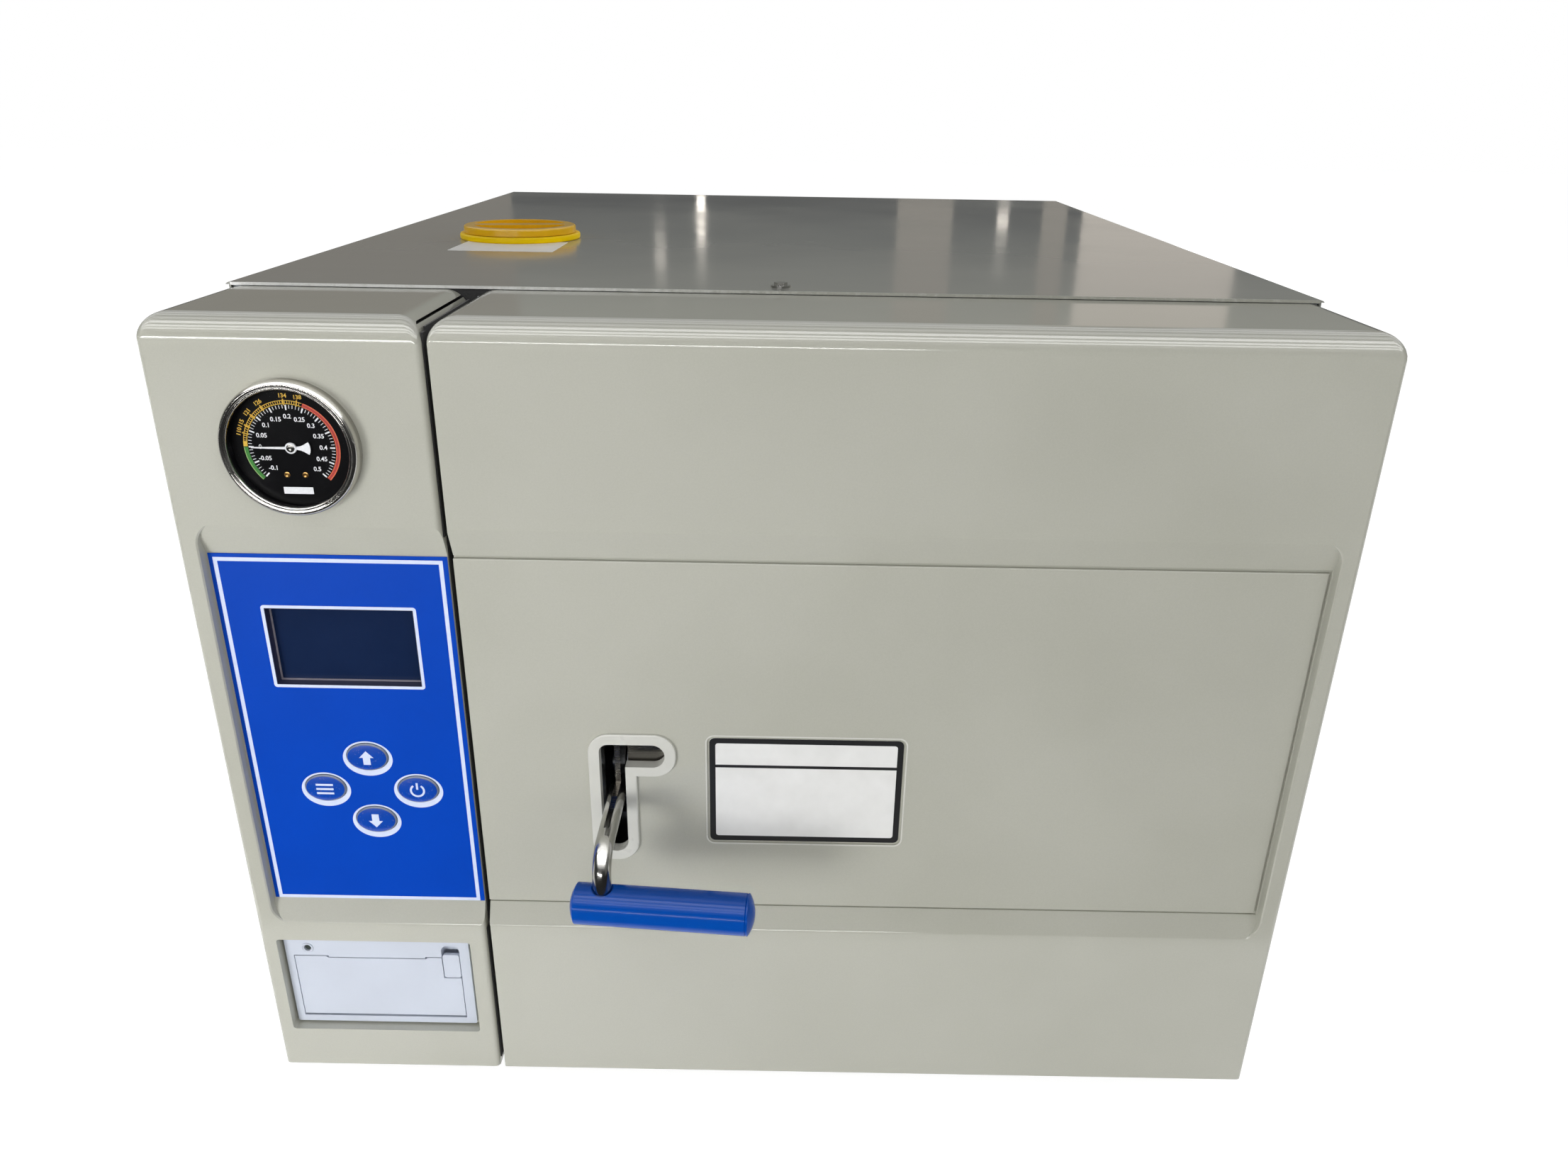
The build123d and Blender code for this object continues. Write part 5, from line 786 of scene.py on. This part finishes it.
# Glass-fibre blanket faced with aluminium foil: crinkled silver.
foil_blanket, tree, shader, place = finish("foil_blanket", Metallic=1.0, Roughness=0.35)
crinkle = node(tree, "ShaderNodeTexVoronoi", {"Vector": place, "Scale": per_mm(14)})
tone = node(tree, "ShaderNodeMix", {0: crinkle.outputs["Distance"], 6: linear("c8c9cb"),
                                    7: linear("9fa1a4")}, data_type="RGBA")
relief = node(tree, "ShaderNodeBump", {"Height": crinkle.outputs["Distance"], "Strength": 0.6,
                                       "Distance": 0.002})
fill(shader, {"Base Color": tone.outputs[2], "Normal": relief.outputs["Normal"]})
dress(foil_blanket, "insulation_jacket")

# Silicone heater mat: brick red rubber with a woven face.
heater_mat = mottled("heater_mat", "9c3f28", "7c3020", 1.5, 2.0, Roughness=0.6)
dress(heater_mat, "heater_band")

# Glass-epoxy board under green solder resist, mottled by the copper below.
board_epoxy, tree, shader, place = finish("board_epoxy", Roughness=0.35)
tracks = node(tree, "ShaderNodeTexVoronoi", {"Vector": place, "Scale": per_mm(3)}, distance="MANHATTAN")
tone = node(tree, "ShaderNodeMix", {0: tracks.outputs["Distance"], 6: linear("1f5c39"), 7: linear("2c7a4c")},
            data_type="RGBA")
fill(shader, {"Base Color": tone.outputs[2]})
dress(board_epoxy, "control_board", "main_board")

# Black glass-filled nylon: matt, faint flow marks.
black_nylon, tree, shader, place = finish("black_nylon", Roughness=0.5)
flow = node(tree, "ShaderNodeTexNoise", {"Vector": place, "Scale": per_mm(5), "Detail": 5.0})
tone = node(tree, "ShaderNodeMix", {0: flow.outputs["Fac"], 6: linear("1c1c1e"), 7: linear("2e2e31")},
            data_type="RGBA")
relief = node(tree, "ShaderNodeBump", {"Height": flow.outputs["Fac"], "Strength": 0.2, "Distance": 0.0002})
fill(shader, {"Base Color": tone.outputs[2], "Normal": relief.outputs["Normal"]})
dress(black_nylon, "fan_housing", "fan_rotor", "inlet_module", "power_rocker", "water_pump",
      "solenoid_valves")

# Drawn copper tube: warm and slightly oxidised. The drain's fittings and the safety valve are turned
# brass, and the drain's handle is the grip's plastic.
drawn_copper = mottled("drawn_copper", "d08a62", "8d5a3c", 10, 5.0, Metallic=1.0, Roughness=0.32)
dress(drawn_copper, "condenser_coil")
dress(turned_brass, "drain_fittings", "safety_valve")
dress(grip_plastic, "drain_handle")

# Moulded rubber feet: black, matt, dusty.
foot_rubber = mottled("foot_rubber", "202022", "363636", 3, 6.0, Roughness=0.75)
dress(foot_rubber, "feet")


# ---- bench, room and lamps -----------------------------------------------------------------
# White floor and a white room. The key lamp stands low on the left in front; weaker ones stand
# overhead, on the right, at the sides and behind. Lamps light the matt surfaces only: what gloss
# and chrome show is a set of cards, with grey walls, rows of ceiling light and some far windows.
FLOOR_HALF, FLOOR_GLOW, GLOW_SHARE = 12.0, 1.3, 0.7
ROOM_LIGHT = 0.26           # what the walls give to matt surfaces; seen directly they are white


def looked_at(tree):
    """One where the camera, a reflection or the gauge's glass looks, nought for matt light."""
    ray = node(tree, "ShaderNodeLightPath")
    seen = ray.outputs["Is Camera Ray"]
    for kind in ("Is Glossy Ray", "Is Transmission Ray"):
        seen = node(tree, "ShaderNodeMath", {0: seen, 1: ray.outputs[kind]}, operation="MAXIMUM").outputs[0]
    return seen


def plane(name, corners, material):
    """Four-cornered sheet of the room, in metres."""
    mesh = bpy.data.meshes.new(name)
    mesh.from_pydata(corners, [], [(0, 1, 2, 3)])
    mesh.materials.append(material)
    made = bpy.data.objects.new(name, mesh)
    bpy.context.scene.collection.objects.link(made)
    return made


floor_white, tree, shader, place = finish("floor_white", Base_Color=linear("f4f4f4"), Roughness=0.8)
share = node(tree, "ShaderNodeMath", {0: looked_at(tree), 1: GLOW_SHARE}, operation="MULTIPLY")
white = node(tree, "ShaderNodeEmission", {"Color": (1, 1, 1, 1), "Strength": FLOOR_GLOW})
mix = node(tree, "ShaderNodeMixShader", {0: share.outputs[0], 1: shader.outputs[0], 2: white.outputs[0]})
fill(tree.nodes["Material Output"], {"Surface": mix.outputs[0]})
floor = plane("floor", [(x * FLOOR_HALF, y * FLOOR_HALF, 0) for x, y in ((-1, -1), (1, -1), (1, 1), (-1, 1))],
              floor_white)
floor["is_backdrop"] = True

room = bpy.data.worlds.new("room")
room.use_nodes = True
bpy.context.scene.world = room
tree = room.node_tree
strength = node(tree, "ShaderNodeMapRange", {"Value": looked_at(tree), "To Min": ROOM_LIGHT, "To Max": 1.0})
fill(tree.nodes["Background"], {"Color": (1, 1, 1, 1), "Strength": strength.outputs[0]})


def lamp(name, place, target, size, power):
    """Square soft lamp, in metres and watts, turned to its target."""
    light = bpy.data.lights.new(name, "AREA")
    light.size, light.energy = size, power
    made = bpy.data.objects.new(name, light)
    made.location = place
    made.rotation_mode = "QUATERNION"
    made.rotation_quaternion = (Vector(target) - Vector(place)).to_track_quat("-Z", "Y")
    made.visible_glossy = False
    bpy.context.scene.collection.objects.link(made)


lamp("key_lamp", (-1.05, -1.65, 0.28), (0, -0.3, 0.22), 0.5, 9.6)
lamp("overhead_lamp", (0.2, -1.5, 2.4), (0, -0.2, 0.3), 1.6, 7.5)
lamp("low_lamp", (-0.55, -1.15, 0.06), (-0.1, -0.3, 0.1), 0.3, 2.0)
lamp("right_lamp", (2.2, -2.4, 0.9), (0, 0, 0.2), 1.2, 13)
lamp("back_lamp", (1.0, 4.5, 1.1), (0, 0.3, 0.2), 2.0, 75)
lamp("left_lamp", (-3.4, 0.9, 1.1), (-0.3, 0, 0.2), 1.5, 26)
lamp("side_lamp", (3.4, 0.9, 1.1), (0.3, 0, 0.2), 1.5, 26)


BACK_Y, WINDOW_Y, FRONT_Y, PANES_Y, WALL_X, CEILING = 3.0, 2.95, -6.0, -5.9, 6, 4.0
WALL_GREY, WINDOW_WHITE, LAMP_WHITE = "3c3d3c", "fff6ea", "ffffff"


def card(name, corners, colour, strength):
    """Card that only reflections see."""
    made = bpy.data.materials.new(name)
    made.use_nodes = True
    tree = made.node_tree
    tree.nodes.remove(tree.nodes["Principled BSDF"])
    glow = node(tree, "ShaderNodeEmission", {"Color": linear(colour), "Strength": strength})
    fill(tree.nodes["Material Output"], {"Surface": glow.outputs[0]})
    shown = plane(name, corners, made)
    shown.visible_camera = shown.visible_diffuse = shown.visible_shadow = False
    shown.visible_transmission = False
    shown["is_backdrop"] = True


def upright(name, x0, x1, y, low, high, colour, strength):
    """Upright card across the room."""
    card(name, [(x0, y, low), (x1, y, low), (x1, y, high), (x0, y, high)], colour, strength)


for low, high, shade in ((0.0, 0.74, "46474a"), (0.74, 0.86, "5d5f60"), (0.86, 0.98, "777874"),
                         (0.98, 1.9, "93948e")):
    upright("back_wall", -WALL_X, WALL_X, BACK_Y, low, high, shade, 1.0)
for x0, x1, low, high, power in ((-0.30, -0.274, 0.66, 0.78, 3.5), (0.675, 0.71, 0.70, 0.745, 2.5),
                                 (-0.44, -0.405, 0.83, 0.865, 2.5), (0.35, 0.53, 0.6, 1.25, 0.3),
                                 (0.82, 0.90, 0.5, 2.0, 0.3), (0.95, 1.47, 0.5, 2.8, 0.62),
                                 (2.1, 3.2, 0.5, 2.8, 0.4), (-2.6, -0.9, 0.55, 1.9, 0.22)):
    upright("back_window", x0, x1, WINDOW_Y, low, high, WINDOW_WHITE, power)
upright("front_wall", -WALL_X, WALL_X, FRONT_Y, 0.0, 3.0, WALL_GREY, 1.0)
for x, shade in ((-WALL_X, WALL_GREY), (WALL_X, "70716e")):
    card("side_wall", [(x, FRONT_Y, 0), (x, BACK_Y, 0), (x, BACK_Y, CEILING), (x, FRONT_Y, CEILING)],
         shade, 1.0)
card("front_ground", [(-5, FRONT_Y, 0.002), (5, FRONT_Y, 0.002), (5, -0.5, 0.002), (-5, -0.5, 0.002)],
     "303030", 1.0)
upright("window_row", -5.0, 0.7, PANES_Y, 0.5, 0.7, LAMP_WHITE, 25.0)
for row in range(6):
    y = -5.0 + 1.5 * row
    card("ceiling_row", [(-9, y, CEILING), (9, y, CEILING), (9, y + 0.9, CEILING), (-9, y + 0.9, CEILING)],
         LAMP_WHITE, 7.0 if row < 3 else 2.8)

bpy.context.scene.view_settings.view_transform = "Standard"
low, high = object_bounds()
